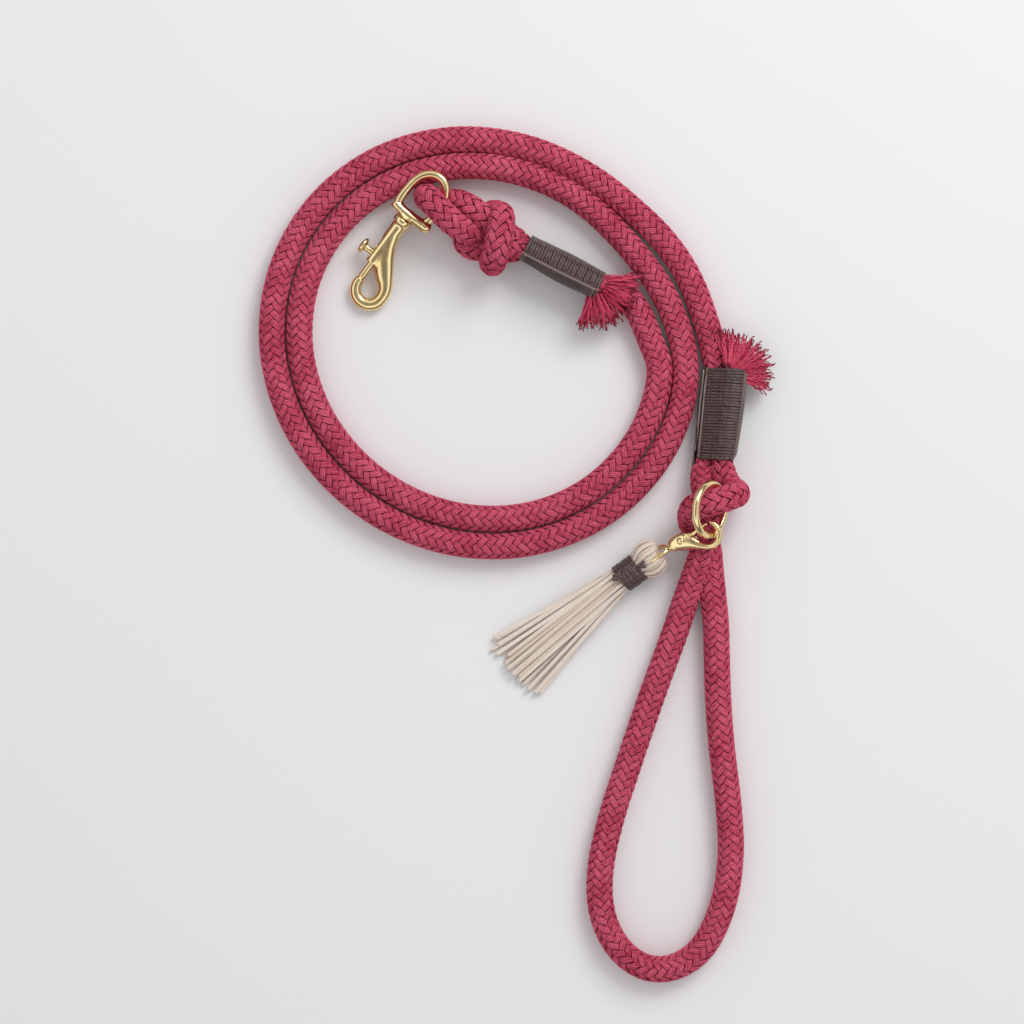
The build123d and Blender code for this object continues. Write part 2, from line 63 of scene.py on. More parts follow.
# %% Camera
view_centre = (-1.9 * MM, 17.9 * MM)
view_width = 442.4 * MM
camera_height = 1.35
rope_diameter = 12 * MM
camera_data = bpy.data.cameras.new("camera")
camera_data.sensor_width = 36
camera_data.lens = camera_data.sensor_width * (camera_height - rope_diameter / 2) / view_width
camera_data.clip_end = 20
camera = bpy.data.objects.new("camera", camera_data)
camera.location = (*view_centre, camera_height)
bpy.context.scene.collection.objects.link(camera)
bpy.context.scene.camera = camera
print("lens", round(camera_data.lens, 1), "mm")

# %% [markdown]
# ## The rope's line
# A braided rope has one smooth centre line. A NURBS spline through listed control points
# bends like a rope, and the coil's two turns come from a loop. The order and the end points
# are set after the points are added.

# %% The route's points
snap_end_route = [
    (37.1, 113.8, 14.4), (25.1, 119.7, 14.6), (13.1, 125.7, 14.4), (3.0, 130.4, 13.6),
    (-4.4, 131.0, 11.6), (-10.2, 131.2, 10.2), (-16.0, 131.4, 9.8), (-21.4, 132.8, 9.4),
    (-22.4, 138.6, 7.4), (-17.2, 143.6, 6.4), (-11.4, 146.8, 8.4),
    (-7.0, 146.0, 15.4), (-6.0, 143.4, 21.8), (-6.4, 138.2, 24.4), (-8.0, 132.2, 24.4),
    (-9.4, 127.2, 21.0), (-10.2, 124.6, 13.4), (-10.4, 126.0, 6.8), (-11.8, 130.2, 5.4),
    (-14.4, 135.4, 8.8), (-19.4, 137.4, 14.4), (-24.6, 139.8, 18.4), (-29.4, 143.4, 21.6),
    (-34.9, 149.2, 22.6), (-39.6, 154.2, 13.2), (-35.8, 152.4, 5.4), (-29.6, 151.8, 6.2),
    (-24.4, 151.2, 12.0),
    (-19.2, 148.0, 16.4), (-14.0, 144.2, 16.4), (-9.0, 140.4, 13.4), (-3.6, 137.0, 9.4),
    (2.6, 133.2, 6.0), (12.4, 128.4, 5.6), (23.9, 122.6, 5.7), (36.2, 116.3, 5.8),
    (45.1, 113.8, 5.9), (52.3, 106.1, 6.0), (57.2, 94.0, 6.0),
]
hand_end_route = [
    (68.6, 129.4, 6.0), (75.9, 116.8, 6.0), (80.8, 103.6, 6.0), (84.7, 91.0, 5.9),
    (86.2, 78.4, 5.6), (85.5, 68.6, 5.5), (84.3, 58.4, 5.6), (83.3, 48.2, 5.5),
    (81.4, 38.2, 6.0), (80.3, 30.0, 8.2), (82.2, 22.4, 12.4), (83.0, 14.4, 13.8),
    (81.8, 6.6, 13.3), (79.4, -1.8, 10.8), (76.8, -10.0, 8.0),
    (73.4, -19.4, 6.2), (68.2, -35.4, 6.0), (61.6, -52.9, 6.0), (54.6, -72.8, 6.0),
    (47.6, -93.5, 6.0), (40.8, -114.3, 6.0), (36.0, -135.0, 6.0), (35.9, -154.0, 6.0),
    (42.6, -169.8, 6.0), (54.4, -179.4, 6.0), (67.8, -179.8, 6.0), (80.8, -171.4, 6.0),
    (89.6, -153.0, 6.0), (93.1, -131.5, 6.0), (91.8, -108.2, 6.0), (89.0, -87.5, 6.0),
    (87.2, -65.9, 6.0), (86.6, -46.3, 6.0), (86.3, -30.0, 6.0), (84.9, -17.0, 6.0),
    (83.8, -6.0, 5.6), (83.2, 2.4, 5.2), (80.6, 8.2, 5.2), (76.4, 10.8, 5.9),
    (75.2, 14.0, 8.8), (74.6, 17.6, 14.6), (76.4, 20.4, 20.6), (80.6, 21.4, 23.6),
    (86.0, 22.6, 24.0), (90.4, 24.0, 22.8), (94.4, 25.4, 18.0), (94.9, 26.4, 11.6),
    (91.6, 28.8, 8.6), (89.0, 33.6, 10.2), (88.7, 40.0, 11.0), (89.6, 47.6, 11.15),
    (90.9, 56.0, 11.05), (92.1, 64.8, 11.15), (93.0, 73.0, 11.05), (93.5, 79.0, 11.1),
]
coil_centre = (-16.6, 91.8)
coil_mean_radius = 83.0
coil_ovality, coil_ovality_angle = 2.9, 147
coil_lean, coil_lean_angle = 1.3, -30
turn_pitch = 11.9
coil_tightening, coil_tight_angle, coil_tight_width = 1.4, 58, 34
coil_first_angle, coil_last_angle, coil_corners = -10, -686, 33
step_outs, step_out_angle = (324, 676), 50
rest_height = 6.0


def smooth_step(share):
    """Eases a share from nought to one."""
    share = np.clip(share, 0, 1)
    return share * share * (3 - 2 * share)


def coil_route():
    """Two turns, clockwise, each stepping out one pitch where the turns pass."""
    corners = []
    turned = (coil_last_angle - coil_first_angle) / (coil_corners - 1)
    for index in range(coil_corners):
        angle = coil_first_angle + turned * index
        oval = coil_ovality * math.cos(2 * math.radians(angle - coil_ovality_angle))
        lean = coil_lean * math.cos(math.radians(angle - coil_lean_angle))
        steps = sum(smooth_step((-angle - out) / step_out_angle) for out in step_outs) - 0.5
        near = (angle - coil_tight_angle + 180) % 360 - 180
        tight = coil_tightening * math.exp(-((near / coil_tight_width) ** 2))
        reach = coil_mean_radius + oval + lean + (turn_pitch - tight) * steps
        reach /= math.cos(math.radians(turned / 2))
        x = coil_centre[0] + reach * math.cos(math.radians(angle))
        y = coil_centre[1] + reach * math.sin(math.radians(angle))
        corners.append((x, y, rest_height))
    return corners


rope_route = snap_end_route + coil_route() + hand_end_route
print("route points", len(rope_route))


# %% The spline and its line
def spline_line(name, points, resolution=14):
    """The points of an open NURBS spline, read from a curve that has no bevel."""
    curve = bpy.data.curves.new(name, "CURVE")
    curve.dimensions = "3D"
    curve.resolution_u = resolution
    spline = curve.splines.new("NURBS")
    spline.points.add(len(points) - 1)
    for corner, place in zip(spline.points, points):
        corner.co = (*(Vector(place) * MM), 1)
    spline.order_u = 3
    spline.use_endpoint_u = True
    holder = bpy.data.objects.new(name, curve)
    bpy.context.scene.collection.objects.link(holder)
    bpy.context.view_layer.update()
    line_mesh = bpy.data.meshes.new_from_object(holder)
    line = np.array([vertex.co for vertex in line_mesh.vertices])
    bpy.data.objects.remove(holder)
    bpy.data.meshes.remove(line_mesh)
    bpy.data.curves.remove(curve)
    return line


def along_line(line):
    """How far along a line each of its points is."""
    steps = np.linalg.norm(np.diff(line, axis=0), axis=1)
    return np.concatenate([[0], np.cumsum(steps)])


def unit_rows(vectors):
    """Each row of an array at length one."""
    return vectors / np.linalg.norm(vectors, axis=1)[:, None]


def resampled(line, count):
    """The same line with a set number of evenly spaced points."""
    along = along_line(line)
    wanted = np.linspace(0, along[-1], count)
    return np.stack([np.interp(wanted, along, values) for values in line.T], 1)


def even_line(line, spacing):
    """The same line with its points a set spacing apart."""
    return resampled(line, int(round(along_line(line)[-1] / spacing)) + 1)


def carried_frames(line, first_side=(0, 0, 1)):
    """A side and an up for each point of a line, carried along it without twist."""
    tangents = unit_rows(np.gradient(line, axis=0))
    side = np.array(first_side, float)
    sides = np.empty_like(line)
    for index, tangent in enumerate(tangents):
        side = side - tangent * side.dot(tangent)
        side /= np.linalg.norm(side)
        sides[index] = side
    return tangents, sides, np.cross(tangents, sides)


rope_line = spline_line("rope_line", rope_route)

# %% [markdown]
# ## How thick the rope is along its length
# The rope is round where it lies free. Inside a laced collar it is pulled down to less
# than three quarters of its width, and it swells again over about one diameter.

# %% The rope's radius along its line
squeezed_radii = {"snap_collar": 4.0 * MM, "hand_collar": 4.2 * MM}
collars = {
    "snap_collar": (Vector((4.0, 131.4, 0)) * MM, Vector((35.6, 115.4, 0)) * MM),
    "hand_collar": (Vector((90.0, 79.6, 0)) * MM, Vector((86.0, 40.0, 0)) * MM),
}
collar_reach = 11 * MM
collar_overrun = 2 * MM
free_radius = 5.8 * MM


def drawn_radii(points):
    """The rope's radius at each point: less where a collar holds it."""
    radii = np.full(len(points), free_radius)
    for name, (start, end) in collars.items():
        run = np.array(end - start)
        length = np.linalg.norm(run)
        offset = (points - np.array(start)) * (1, 1, 0)
        along = offset @ run / length
        beside = np.linalg.norm(offset - along[:, None] * run / length, axis=1)
        inside = (along > -collar_overrun) & (along < length + collar_overrun)
        held = inside & (beside < collar_reach)
        radii[held] = squeezed_radii[name]
    return radii


def smoothed(values, reach):
    """A running mean with a soft window of reach samples each way."""
    window = np.hanning(2 * reach + 3)[1:-1]
    padded = np.pad(values, reach, mode="edge")
    return np.convolve(padded, window / window.sum(), mode="valid")


sample_spacing = 0.75 * MM
rope_points = even_line(rope_line, sample_spacing)
rope_along = np.linspace(0, along_line(rope_line)[-1], len(rope_points))
rope_tangents, rope_sides, rope_ups = carried_frames(rope_points)
swell = 7
rope_radius = smoothed(drawn_radii(rope_points), swell)
print("rope samples", len(rope_points))


# %% [markdown]
# ## The braid
# Sixteen carriers make this braid: eight strands wind one way and eight the other, and each
# passes over two and under two. On a braiding machine the crossings happen at fixed places
# round the rope, so the floats stack in eight straight columns, which read as a herringbone.
# Each strand is a flat ribbon of three yarns. It is built in mesh code, because its path is
# a formula: an angle that grows along the rope, and a height that rises and dips.

# %% Braid sizes
braid_pitch = 31.5 * MM
strands_each_way = 8
crossings_round = 2 * strands_each_way
strand_half_width = 1.50 * MM
strand_half_height = 0.76 * MM
weave_rise = 0.56 * MM
yarns_in_strand = 3
yarn_relief = 0.20 * MM
face_roundness = 0.92
back_share, back_depth = 0.55, 0.75
float_flatness = 1.7
dive_narrowing = 0.14
floor_clearance = 0.15 * MM
uv_unit = 10 * MM
print("carriers", 2 * strands_each_way)


# %% One strand
def strand_section():
    """Points round one strand: three yarns on its face, and a flat back."""
    face_points = 2 * yarns_in_strand + 1
    across, height = [], []
    for index in range(face_points):
        share = index / (face_points - 1) * 2 - 1
        crown = math.sqrt(max(0.0, 1 - (face_roundness * share) ** 2))
        ridge = 0.5 if index % 2 else -0.5
        across.append(share)
        height.append(crown + ridge * yarn_relief / strand_half_height)
    across += [back_share, -back_share]
    height += [-back_depth, -back_depth]
    return np.array(across), np.array(height)


def strand_mesh_data(way, number, line_frames, radii):
    """Rings of points for one strand, with its height in the weave at each ring."""
    points, tangents, sides, ups, along = line_frames
    turns = along / braid_pitch
    start = number / strands_each_way
    theta = 2 * math.pi * (way * turns + start)
    crossing = crossings_round * (way * turns + start)
    over_centre = 0.5 if way > 0 else 2.5
    wave = np.cos(2 * math.pi * (crossing - over_centre) / 4)
    lift = np.tanh(float_flatness * wave) / math.tanh(float_flatness)
    outward = np.cos(theta)[:, None] * sides + np.sin(theta)[:, None] * ups
    scale = radii / free_radius
    middle = radii - (strand_half_height + weave_rise) * scale
    height = middle + weave_rise * lift * scale
    path = points + outward * height[:, None]
    forward = np.gradient(path, axis=0)
    width_way = unit_rows(np.cross(forward, outward))
    across, up = strand_section()
    stretch = np.clip((forward * tangents).sum(axis=1) / sample_spacing, 0.5, 1.8)
    half_width = strand_half_width * scale * (1 - dive_narrowing + dive_narrowing * wave)
    half_width *= math.sqrt(2) * stretch / np.sqrt(1 + stretch**2)
    half_height = strand_half_height * scale
    rings = (
        path[:, None]
        + width_way[:, None] * (half_width[:, None] * across)[:, :, None]
        + outward[:, None] * (half_height[:, None] * up)[:, :, None]
    )
    return rings, lift


# %% Tubes into a mesh
def closed_tubes(name, tubes, **ring_values):
    """One mesh of closed tubes, each an array of rings. The UV map runs in centimetres
    along a tube and once round it. ring_values hold a number for each ring of each tube."""
    vertices, faces, caps, uvs = [], [], [], []
    base = 0
    for rings in tubes:
        count, around = rings.shape[:2]
        index = base + np.arange(count * around).reshape(count, around)
        right = np.roll(index, -1, axis=1)
        quads = np.stack([index[:-1], right[:-1], right[1:], index[1:]], -1)
        along = along_line(rings.mean(axis=1)) / uv_unit
        column = np.arange(around) / around
        corner_u = np.stack([along[:-1], along[:-1], along[1:], along[1:]], -1)
        corner_v = np.stack([column, column + 1 / around, column + 1 / around, column], -1)
        corner_u = np.repeat(corner_u[:, None], around, axis=1)
        corner_v = np.repeat(corner_v[None], count - 1, axis=0)
        uvs.append(np.stack([corner_u, corner_v], -1).reshape(-1, 2))
        vertices.append(rings.reshape(-1, 3))
        faces.append(quads.reshape(-1, 4))
        caps.append(index[0, ::-1].tolist())
        caps.append(index[-1].tolist())
        base += count * around
    mesh = bpy.data.meshes.new(name)
    mesh.from_pydata(np.concatenate(vertices).tolist(), [], np.concatenate(faces).tolist() + caps)
    side_uvs = np.concatenate(uvs)
    layer = mesh.uv_layers.new(name="along_and_round")
    all_uvs = np.zeros((len(mesh.loops), 2), np.float32)
    all_uvs[: len(side_uvs)] = side_uvs
    layer.data.foreach_set("uv", all_uvs.ravel())
    for title, values in ring_values.items():
        spread = [np.repeat(value, rings.shape[1]) for value, rings in zip(values, tubes)]
        attribute = mesh.attributes.new(title, "FLOAT", "POINT")
        attribute.data.foreach_set("value", np.concatenate(spread).astype(np.float32))
    mesh.shade_smooth()
    piece = bpy.data.objects.new(name, mesh)
    bpy.context.scene.collection.objects.link(piece)
    return piece


def triangles(piece):
    """How many triangles a piece has."""
    return sum(len(face.vertices) - 2 for face in piece.data.polygons)


# %% Round tubes
def round_rings(points, sides, ups, radii, around):
    """Circles of points round a line, one at each of its points, with one radius or many."""
    angle = np.arange(around) / around * 2 * math.pi
    circle = np.cos(angle)[:, None, None] * sides + np.sin(angle)[:, None, None] * ups
    return np.swapaxes(points + circle * np.reshape(radii, (1, -1, 1)), 0, 1)


def tube_along(line, radii, around=8, first_side=(0, 0, 1)):
    """A round tube along a line."""
    _, sides, ups = carried_frames(line, first_side)
    return round_rings(line, sides, ups, radii, around)


# %% Lay the strands
rope_frames = (rope_points, rope_tangents, rope_sides, rope_ups, rope_along)
random_tones = np.random.default_rng(7)
strand_groups = []
for group in range(4):
    way = 1 if group % 2 else -1
    tubes, lifts, tones = [], [], []
    for number in range(group // 2, strands_each_way, 2):
        rings, lift = strand_mesh_data(way, number, rope_frames, rope_radius)
        rings[:, :, 2] = np.maximum(rings[:, :, 2], floor_clearance)
        tubes.append(rings)
        lifts.append(lift)
        tones.append(np.full(len(rings), random_tones.random()))
    strands = closed_tubes(f"rope_strands_{group + 1}", tubes, weave_height=lifts, tone=tones)
    strand_groups.append(strands)
    print(strands.name, "triangles", triangles(strands))

core_share, core_sides = 0.86, 12
core_frames = [part[::2] for part in (rope_points, rope_sides, rope_ups)]
core_rings = round_rings(*core_frames, rope_radius[::2] * core_share, core_sides)
core_rings[:, :, 2] = np.maximum(core_rings[:, :, 2], 2 * floor_clearance)
rope_core = closed_tubes("rope_core", [core_rings])


# %% [markdown]
# ## Finishes
# A finish is a node tree on a Principled shader. Written as expressions, shader maths stays
# readable: a small class wraps an output socket, and a second one holds the tree. Patterns
# read the mesh's own UV map and attributes, or Object coordinates, so they stay with the
# piece when it moves.

# %% Shader tools
class Signal:
    """One output of a node, so that shader maths can be written as an expression."""

    def __init__(self, finish, socket):
        self.finish = finish
        self.socket = socket

    def maths(self, operation, *others):
        return self.finish.maths(operation, self, *others)

    def __add__(self, other):
        return self.maths("ADD", other)

    def __sub__(self, other):
        return self.maths("SUBTRACT", other)

    def __mul__(self, other):
        return self.maths("MULTIPLY", other)

    def __truediv__(self, other):
        return self.maths("DIVIDE", other)

    def __rsub__(self, other):
        return self.finish.maths("SUBTRACT", other, self)

    __radd__ = __add__
    __rmul__ = __mul__


# %% A finish
class Finish:
    """A material being made: its tree, its Principled shader and one maker of nodes."""

    def __init__(self, name, **constants):
        self.material = bpy.data.materials.new(name)
        self.material.use_nodes = True
        self.tree = self.material.node_tree
        self.shader = self.tree.nodes["Principled BSDF"]
        self.feed(self.shader, constants)

    def feed(self, node, inputs):
        """Links signals and sets plain values, by socket name or number."""
        for name, value in inputs.items():
            socket = node.inputs[name if isinstance(name, int) else name.replace("_", " ")]
            if isinstance(value, Signal):
                self.tree.links.new(value.socket, socket)
            else:
                socket.default_value = value

    def node(self, kind, settings=None, output=0, numbered=(), **inputs):
        node = self.tree.nodes.new("ShaderNode" + kind)
        for name, value in (settings or {}).items():
            setattr(node, name, value)
        self.feed(node, dict(enumerate(numbered)))
        self.feed(node, inputs)
        return Signal(self, node.outputs[output])

    def maths(self, operation, *values):
        return self.node("Math", {"operation": operation}, numbered=values)

    def mix(self, share, first, second):
        """A colour between two."""
        node = self.tree.nodes.new("ShaderNodeMix")
        node.data_type = "RGBA"
        self.feed(node, {0: share, 6: first, 7: second})
        return Signal(self, node.outputs[2])

    def ramp(self, signal, low, high, to_low=0.0, to_high=1.0):
        """Maps one range to another, smoothly and clamped."""
        settings = {"interpolation_type": "SMOOTHSTEP"}
        values = (signal, low, high, to_low, to_high)
        return self.node("MapRange", settings, numbered=values)

    def noise(self, place, scale, detail=3.0, roughness=0.55):
        inputs = {"Vector": place, "Scale": scale, "Detail": detail, "Roughness": roughness}
        return self.node("TexNoise", **inputs)

    def streaks(self, uv, along, across, detail):
        """Noise drawn out along a tube: how fine it is along the tube, and how fine across."""
        scale = (along, across, 1.0)
        place = self.node("VectorMath", {"operation": "MULTIPLY"}, numbered=(uv, scale))
        return self.noise(place, 1.0, detail)

    def waves(self, phase):
        """A wave of a phase, from nought to one."""
        return self.maths("COSINE", phase) * 0.5 + 0.5

    def object_place(self):
        return self.node("TexCoord", output="Object")

    def uv_place(self):
        return self.node("TexCoord", output="UV")

    def uv_parts(self, uv):
        """How far along a tube, in centimetres, and how far round it."""
        along = self.node("SeparateXYZ", Vector=uv)
        return along, Signal(self, along.socket.node.outputs[1])

    def attribute(self, name):
        return self.node("Attribute", {"attribute_name": name}, output="Fac")

    def bump(self, height, distance, strength=1.0):
        inputs = {"Height": height, "Distance": distance, "Strength": strength}
        self.feed(self.shader, {"Normal": self.node("Bump", **inputs)})

    def done(self, **outputs):
        self.feed(self.shader, outputs)
        return self.material


# %% Dress a piece
def dressed(piece, material):
    """Gives the piece one material."""
    piece.data.materials.clear()
    piece.data.materials.append(material)


def fitted(piece, material, body, slot, *nodes):
    """Dresses a piece and says what it rides on, and which nodes it stands for."""
    dressed(piece, material)
    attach(piece, body)
    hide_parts(*nodes)


# %% [markdown]
# ## Cotton, dyed raspberry
# Cotton scatters light softly and has a faint bloom of loose fibres at grazing angles, so it
# gets a high roughness and some sheen. Each strand is made of yarns, and each yarn of
# fibres: fine streaks along the strand and a slow change of dye. Painted shade darkens the
# grooves between yarns, the edges of each strand and the places where a strand dives under
# another.

# %% The rope's cotton
cotton_bright = (1.0, 0.185, 0.30, 1)
cotton_middle = (0.44, 0.014, 0.050, 1)
# The darkest cotton is painted shade in the rope's grooves, strand edges and dives, and colours
# the dark tips of the frayed yarns.
cotton_shade_and_tips = (0.03, 0.0003, 0.003, 1)
cotton_sheen = {"Sheen_Weight": 0.02, "Sheen_Roughness": 0.5, "Sheen_Tint": (1.0, 0.5, 0.6, 1)}
ring_points_in_strand = 2 * yarns_in_strand + 3


def rope_cotton():
    finish = Finish("rope_cotton", Specular_IOR_Level=0.05, **cotton_sheen)
    uv = finish.uv_place()
    place = finish.object_place()
    across = finish.uv_parts(uv)[1] * ring_points_in_strand
    groove = finish.waves(across * math.pi)
    groove = finish.ramp(groove, 0.55, 1.0)
    from_middle = finish.maths("ABSOLUTE", across - yarns_in_strand) / yarns_in_strand
    strand_edge_shade = finish.ramp(from_middle, 0.66, 1.06)
    yarn = finish.streaks(uv, 5.0, 9.0, 4.0)
    fibre = finish.streaks(uv, 22.0, 70.0, 2.0)
    dye = finish.noise(place, 60.0, 3.0)
    # Painted shade where a strand dives under another: low in the weave, depth takes the colour to
    # the darkest cotton.
    depth = finish.ramp(finish.attribute("weave_height"), -0.95, 0.25)
    tone = finish.attribute("tone") * 0.2 + yarn * 1.5 + fibre * 1.3 + dye * 0.4 - 1.16
    colour = finish.mix(finish.ramp(tone, 0.05, 0.95), cotton_middle, cotton_bright)
    # Painted shade in the grooves between the yarns.
    colour = finish.mix(groove * 0.28, colour, cotton_shade_and_tips)
    # Painted shade along each strand's edges, where it meets its neighbours.
    colour = finish.mix(strand_edge_shade * 0.72, colour, cotton_shade_and_tips)
    colour = finish.mix(depth, cotton_shade_and_tips, colour)
    finish.bump(yarn * 0.6 + fibre * 0.7 - groove * 0.3, 0.0005, 0.9)
    return finish.done(Base_Color=colour, Roughness=finish.ramp(fibre, 0.2, 0.8, 0.95, 0.8))


# The core is coloured far darker than the strands: painted shade in the gaps between them.
def core_cotton_in_shade():
    finish = Finish("core_cotton_in_shade", Roughness=1.0)
    grain = finish.noise(finish.object_place(), 900.0, 2.0)
    colour = finish.mix(grain, (0.10, 0.002, 0.011, 1), (0.22, 0.007, 0.028, 1))
    return finish.done(Base_Color=colour)


rope_nodes = [
    "snap_knot_tail", "snap_knot_wrap", "snap_bight", "snap_knot_standing_part",
    "lead_inner_turn", "lead_outer_turn", "hand_knot_standing_part", "hand_loop",
    "hand_knot_wrap",
]
rope_finish = rope_cotton()
for strands in strand_groups:
    fitted(strands, rope_finish, "rope", "rope", *rope_nodes)
fitted(rope_core, core_cotton_in_shade(), "rope", "rope", *rope_nodes)

print("rope replaces", len(rope_nodes), "nodes")

# %% [markdown]
# ## The leather collars
# Each end of the rope is folded back on itself, and a strip of leather is wrapped round the
# two thicknesses and drawn together with twine. A grid of the strip's size is wrapped by a
# formula round a stadium, the shape of two ropes side by side, and its lips curl outwards.
# Solidify gives the leather its thickness and Bevel softens the cut edges.

# %% Collar frames
collar_ropes = {
    "snap_collar": ((1.1, 5.75), (-1.0, 14.5)),
    "hand_collar": ((-3.6, 5.55), (3.6, 11.1)),
}
lip_lines = {"snap_collar": ((1.2, 13.8), -56.0), "hand_collar": ((0.0, 11.4), 18.0)}
drawn_in = {
    "snap_collar": ((0.0, 0.5, 1.0), (0.93, 0.99, 0.87), (0.95, 1.03, 0.94)),
    "hand_collar": ((0.0, 0.4, 1.0), (1.0, 1.0, 0.99), (0.97, 0.99, 0.83)),
}
rounded_corners = {"snap_collar": (1.0, 1.4), "hand_collar": (1.2, 4.2)}
leather_middle = 5.07 * MM
leather_reach = 8.8 * MM
leather_thickness, leather_bevel, leather_floor = 0.85 * MM, 0.2 * MM, 0.55 * MM
lip_curl_reach, lip_waver = 2.4 * MM, 0.35 * MM
stadium_points = 240
nearest_points = 1e-7


def collar_frame(name):
    """Start, axis and sideways direction of a collar, with its length."""
    start, end = collars[name]
    axis = (end - start).normalized()
    return start, axis, Vector((-axis.y, axis.x, 0)), (end - start).length


def stadium(name, radius):
    """Points round two ropes side by side, with how far each is beyond the lip line."""
    low, high = (Vector(rope) * MM for rope in collar_ropes[name])
    spread = (high - low).normalized()
    side = Vector((spread.y, -spread.x))
    half = stadium_points // 2
    points = []
    for centre, first in ((high, side), (low, -side)):
        turned = spread if centre == high else -spread
        for index in range(half + 1):
            angle = math.pi * index / half
            points.append(centre + radius * (first * math.cos(angle) + turned * math.sin(angle)))
    (lip_x, lip_y), slope = lip_lines[name]
    outward = Vector((-math.sin(math.radians(slope)), math.cos(math.radians(slope))))
    beyond = [(point - Vector((lip_x, lip_y)) * MM).dot(outward) for point in points]
    return points, beyond


def side_of_lips(name, radius, laced):
    """The stretch of the stadium on one side of the lip line, in order along it."""
    points, beyond = stadium(name, radius)
    wanted = [(value > 0) == laced for value in beyond]
    start = next(i for i in range(len(points)) if wanted[i] and not wanted[i - 1])
    order = [(start + i) % len(points) for i in range(len(points))]
    stretch = []
    for index in order:
        if not wanted[index]:
            break
        stretch.append(points[index])
    line = np.array(stretch)
    steps = np.linalg.norm(np.diff(line, axis=0), axis=1)
    return line[np.concatenate([[True], steps > nearest_points])]


def across_at(name, beside, share):
    """A sideways distance, drawn in by what the collar's shape takes off at that place."""
    stations, low, high = drawn_in[name]
    shape = high if beside > 0 else low
    eased = 3 * np.interp(share, stations, shape)
    for shift in (-0.12, 0.12):
        eased += np.interp(share + shift, stations, shape)
    return beside * eased / 5


for name in collars:
    print(name, "leather", len(side_of_lips(name, leather_middle, False)), "points")


# %% Mesh tools
def joined(parts, name):
    """Makes one piece of several."""
    bpy.ops.object.select_all(action="DESELECT")
    for part in parts:
        part.select_set(True)
    bpy.context.view_layer.objects.active = parts[0]
    if len(parts) > 1:
        bpy.ops.object.join()
    piece = bpy.context.active_object
    piece.name = name
    return piece


def applied(piece, kind, **settings):
    """Gives a piece a modifier with its settings, and applies it."""
    modifier = piece.modifiers.new(kind.lower(), kind)
    for name, value in settings.items():
        setattr(modifier, name, value)
    bpy.context.view_layer.objects.active = piece
    bpy.ops.object.modifier_apply(modifier=modifier.name)


def outward_faces():
    """Turns every face of the active piece outwards."""
    bpy.ops.object.mode_set(mode="EDIT")
    bpy.ops.mesh.select_all(action="SELECT")
    bpy.ops.mesh.normals_make_consistent(inside=False)
    bpy.ops.object.mode_set(mode="OBJECT")


# %% Wrap the leather
def leaned_out(profile, lift):
    """Curls both ends of a profile outwards."""
    middle = profile.mean(axis=0)
    along = along_line(profile)
    to_end = np.minimum(along, along[-1] - along)
    curl = np.clip(1 - to_end / lip_curl_reach, 0, 1) ** 2
    tangents = np.gradient(profile, axis=0)
    normals = unit_rows(np.stack([tangents[:, 1], -tangents[:, 0]], 1))
    flip = np.sign(((profile - middle) * normals).sum(axis=1))[:, None]
    return profile + normals * flip * (curl * lift)[:, None]


def wrapped_leather(name, radius, share, curl, length_share, seed, taper=0.0):
    """A grid wrapped along a share of the profile, for a share of the collar's length."""
    start, axis, side, length = collar_frame(name)
    first, last = share
    across_count, along_count = max(4, int(46 * (last - first))), 40
    profile = resampled(leaned_out(side_of_lips(name, radius, False), curl), 400)
    middle = profile.mean(axis=0)
    chance = np.random.default_rng(seed)
    wave = smoothed(chance.normal(0, 1, along_count + 1), 5) * lip_waver
    bpy.ops.mesh.primitive_grid_add(
        x_subdivisions=across_count, y_subdivisions=along_count, size=1,
    )
    strip = bpy.context.active_object
    strip.name = name + "_strip"
    for vertex in strip.data.vertices:
        u = vertex.co.x + 0.5
        v = vertex.co.y + 0.5
        narrowing = taper * (v - 0.5)
        place = first + (last - first) * u
        if first > 0:
            place -= narrowing * (1 - u)
        elif last < 1:
            place += narrowing * u
        index = np.clip(place, 0, 1) * (len(profile) - 1)
        low = min(int(index), len(profile) - 2)
        sample = profile[low] + (profile[low + 1] - profile[low]) * (index - low)
        along = length_share[0] + (length_share[1] - length_share[0]) * v
        ends = wave[int(round(v * along_count))] * (abs(u - 0.5) * 2) ** 3
        out = (sample - middle) / np.linalg.norm(sample - middle)
        sample = sample + out * ends * 0.5
        trim = rounded_corners[name][v > 0.5] * MM * np.clip(sample[0] / leather_reach, -1, 1) ** 4
        along = along * length - math.copysign(trim, v - 0.5) * abs(2 * v - 1) ** 6
        across = across_at(name, sample[0], v)
        vertex.co = start + axis * along + side * across + Vector((0, 0, sample[1]))
        vertex.co.z = max(vertex.co.z, leather_floor)
    return strip


def finished_leather(name, strips):
    """Joins the strips and gives them their thickness and soft edges."""
    leather = joined(strips[::-1], name)
    applied(leather, "SOLIDIFY", thickness=leather_thickness, offset=0, use_even_offset=True)
    applied(leather, "BEVEL", width=leather_bevel, segments=2, limit_method="ANGLE")
    outward_faces()
    bpy.ops.object.shade_smooth_by_angle(angle=math.radians(50))
    print(leather.name, "triangles", triangles(leather))
    return leather


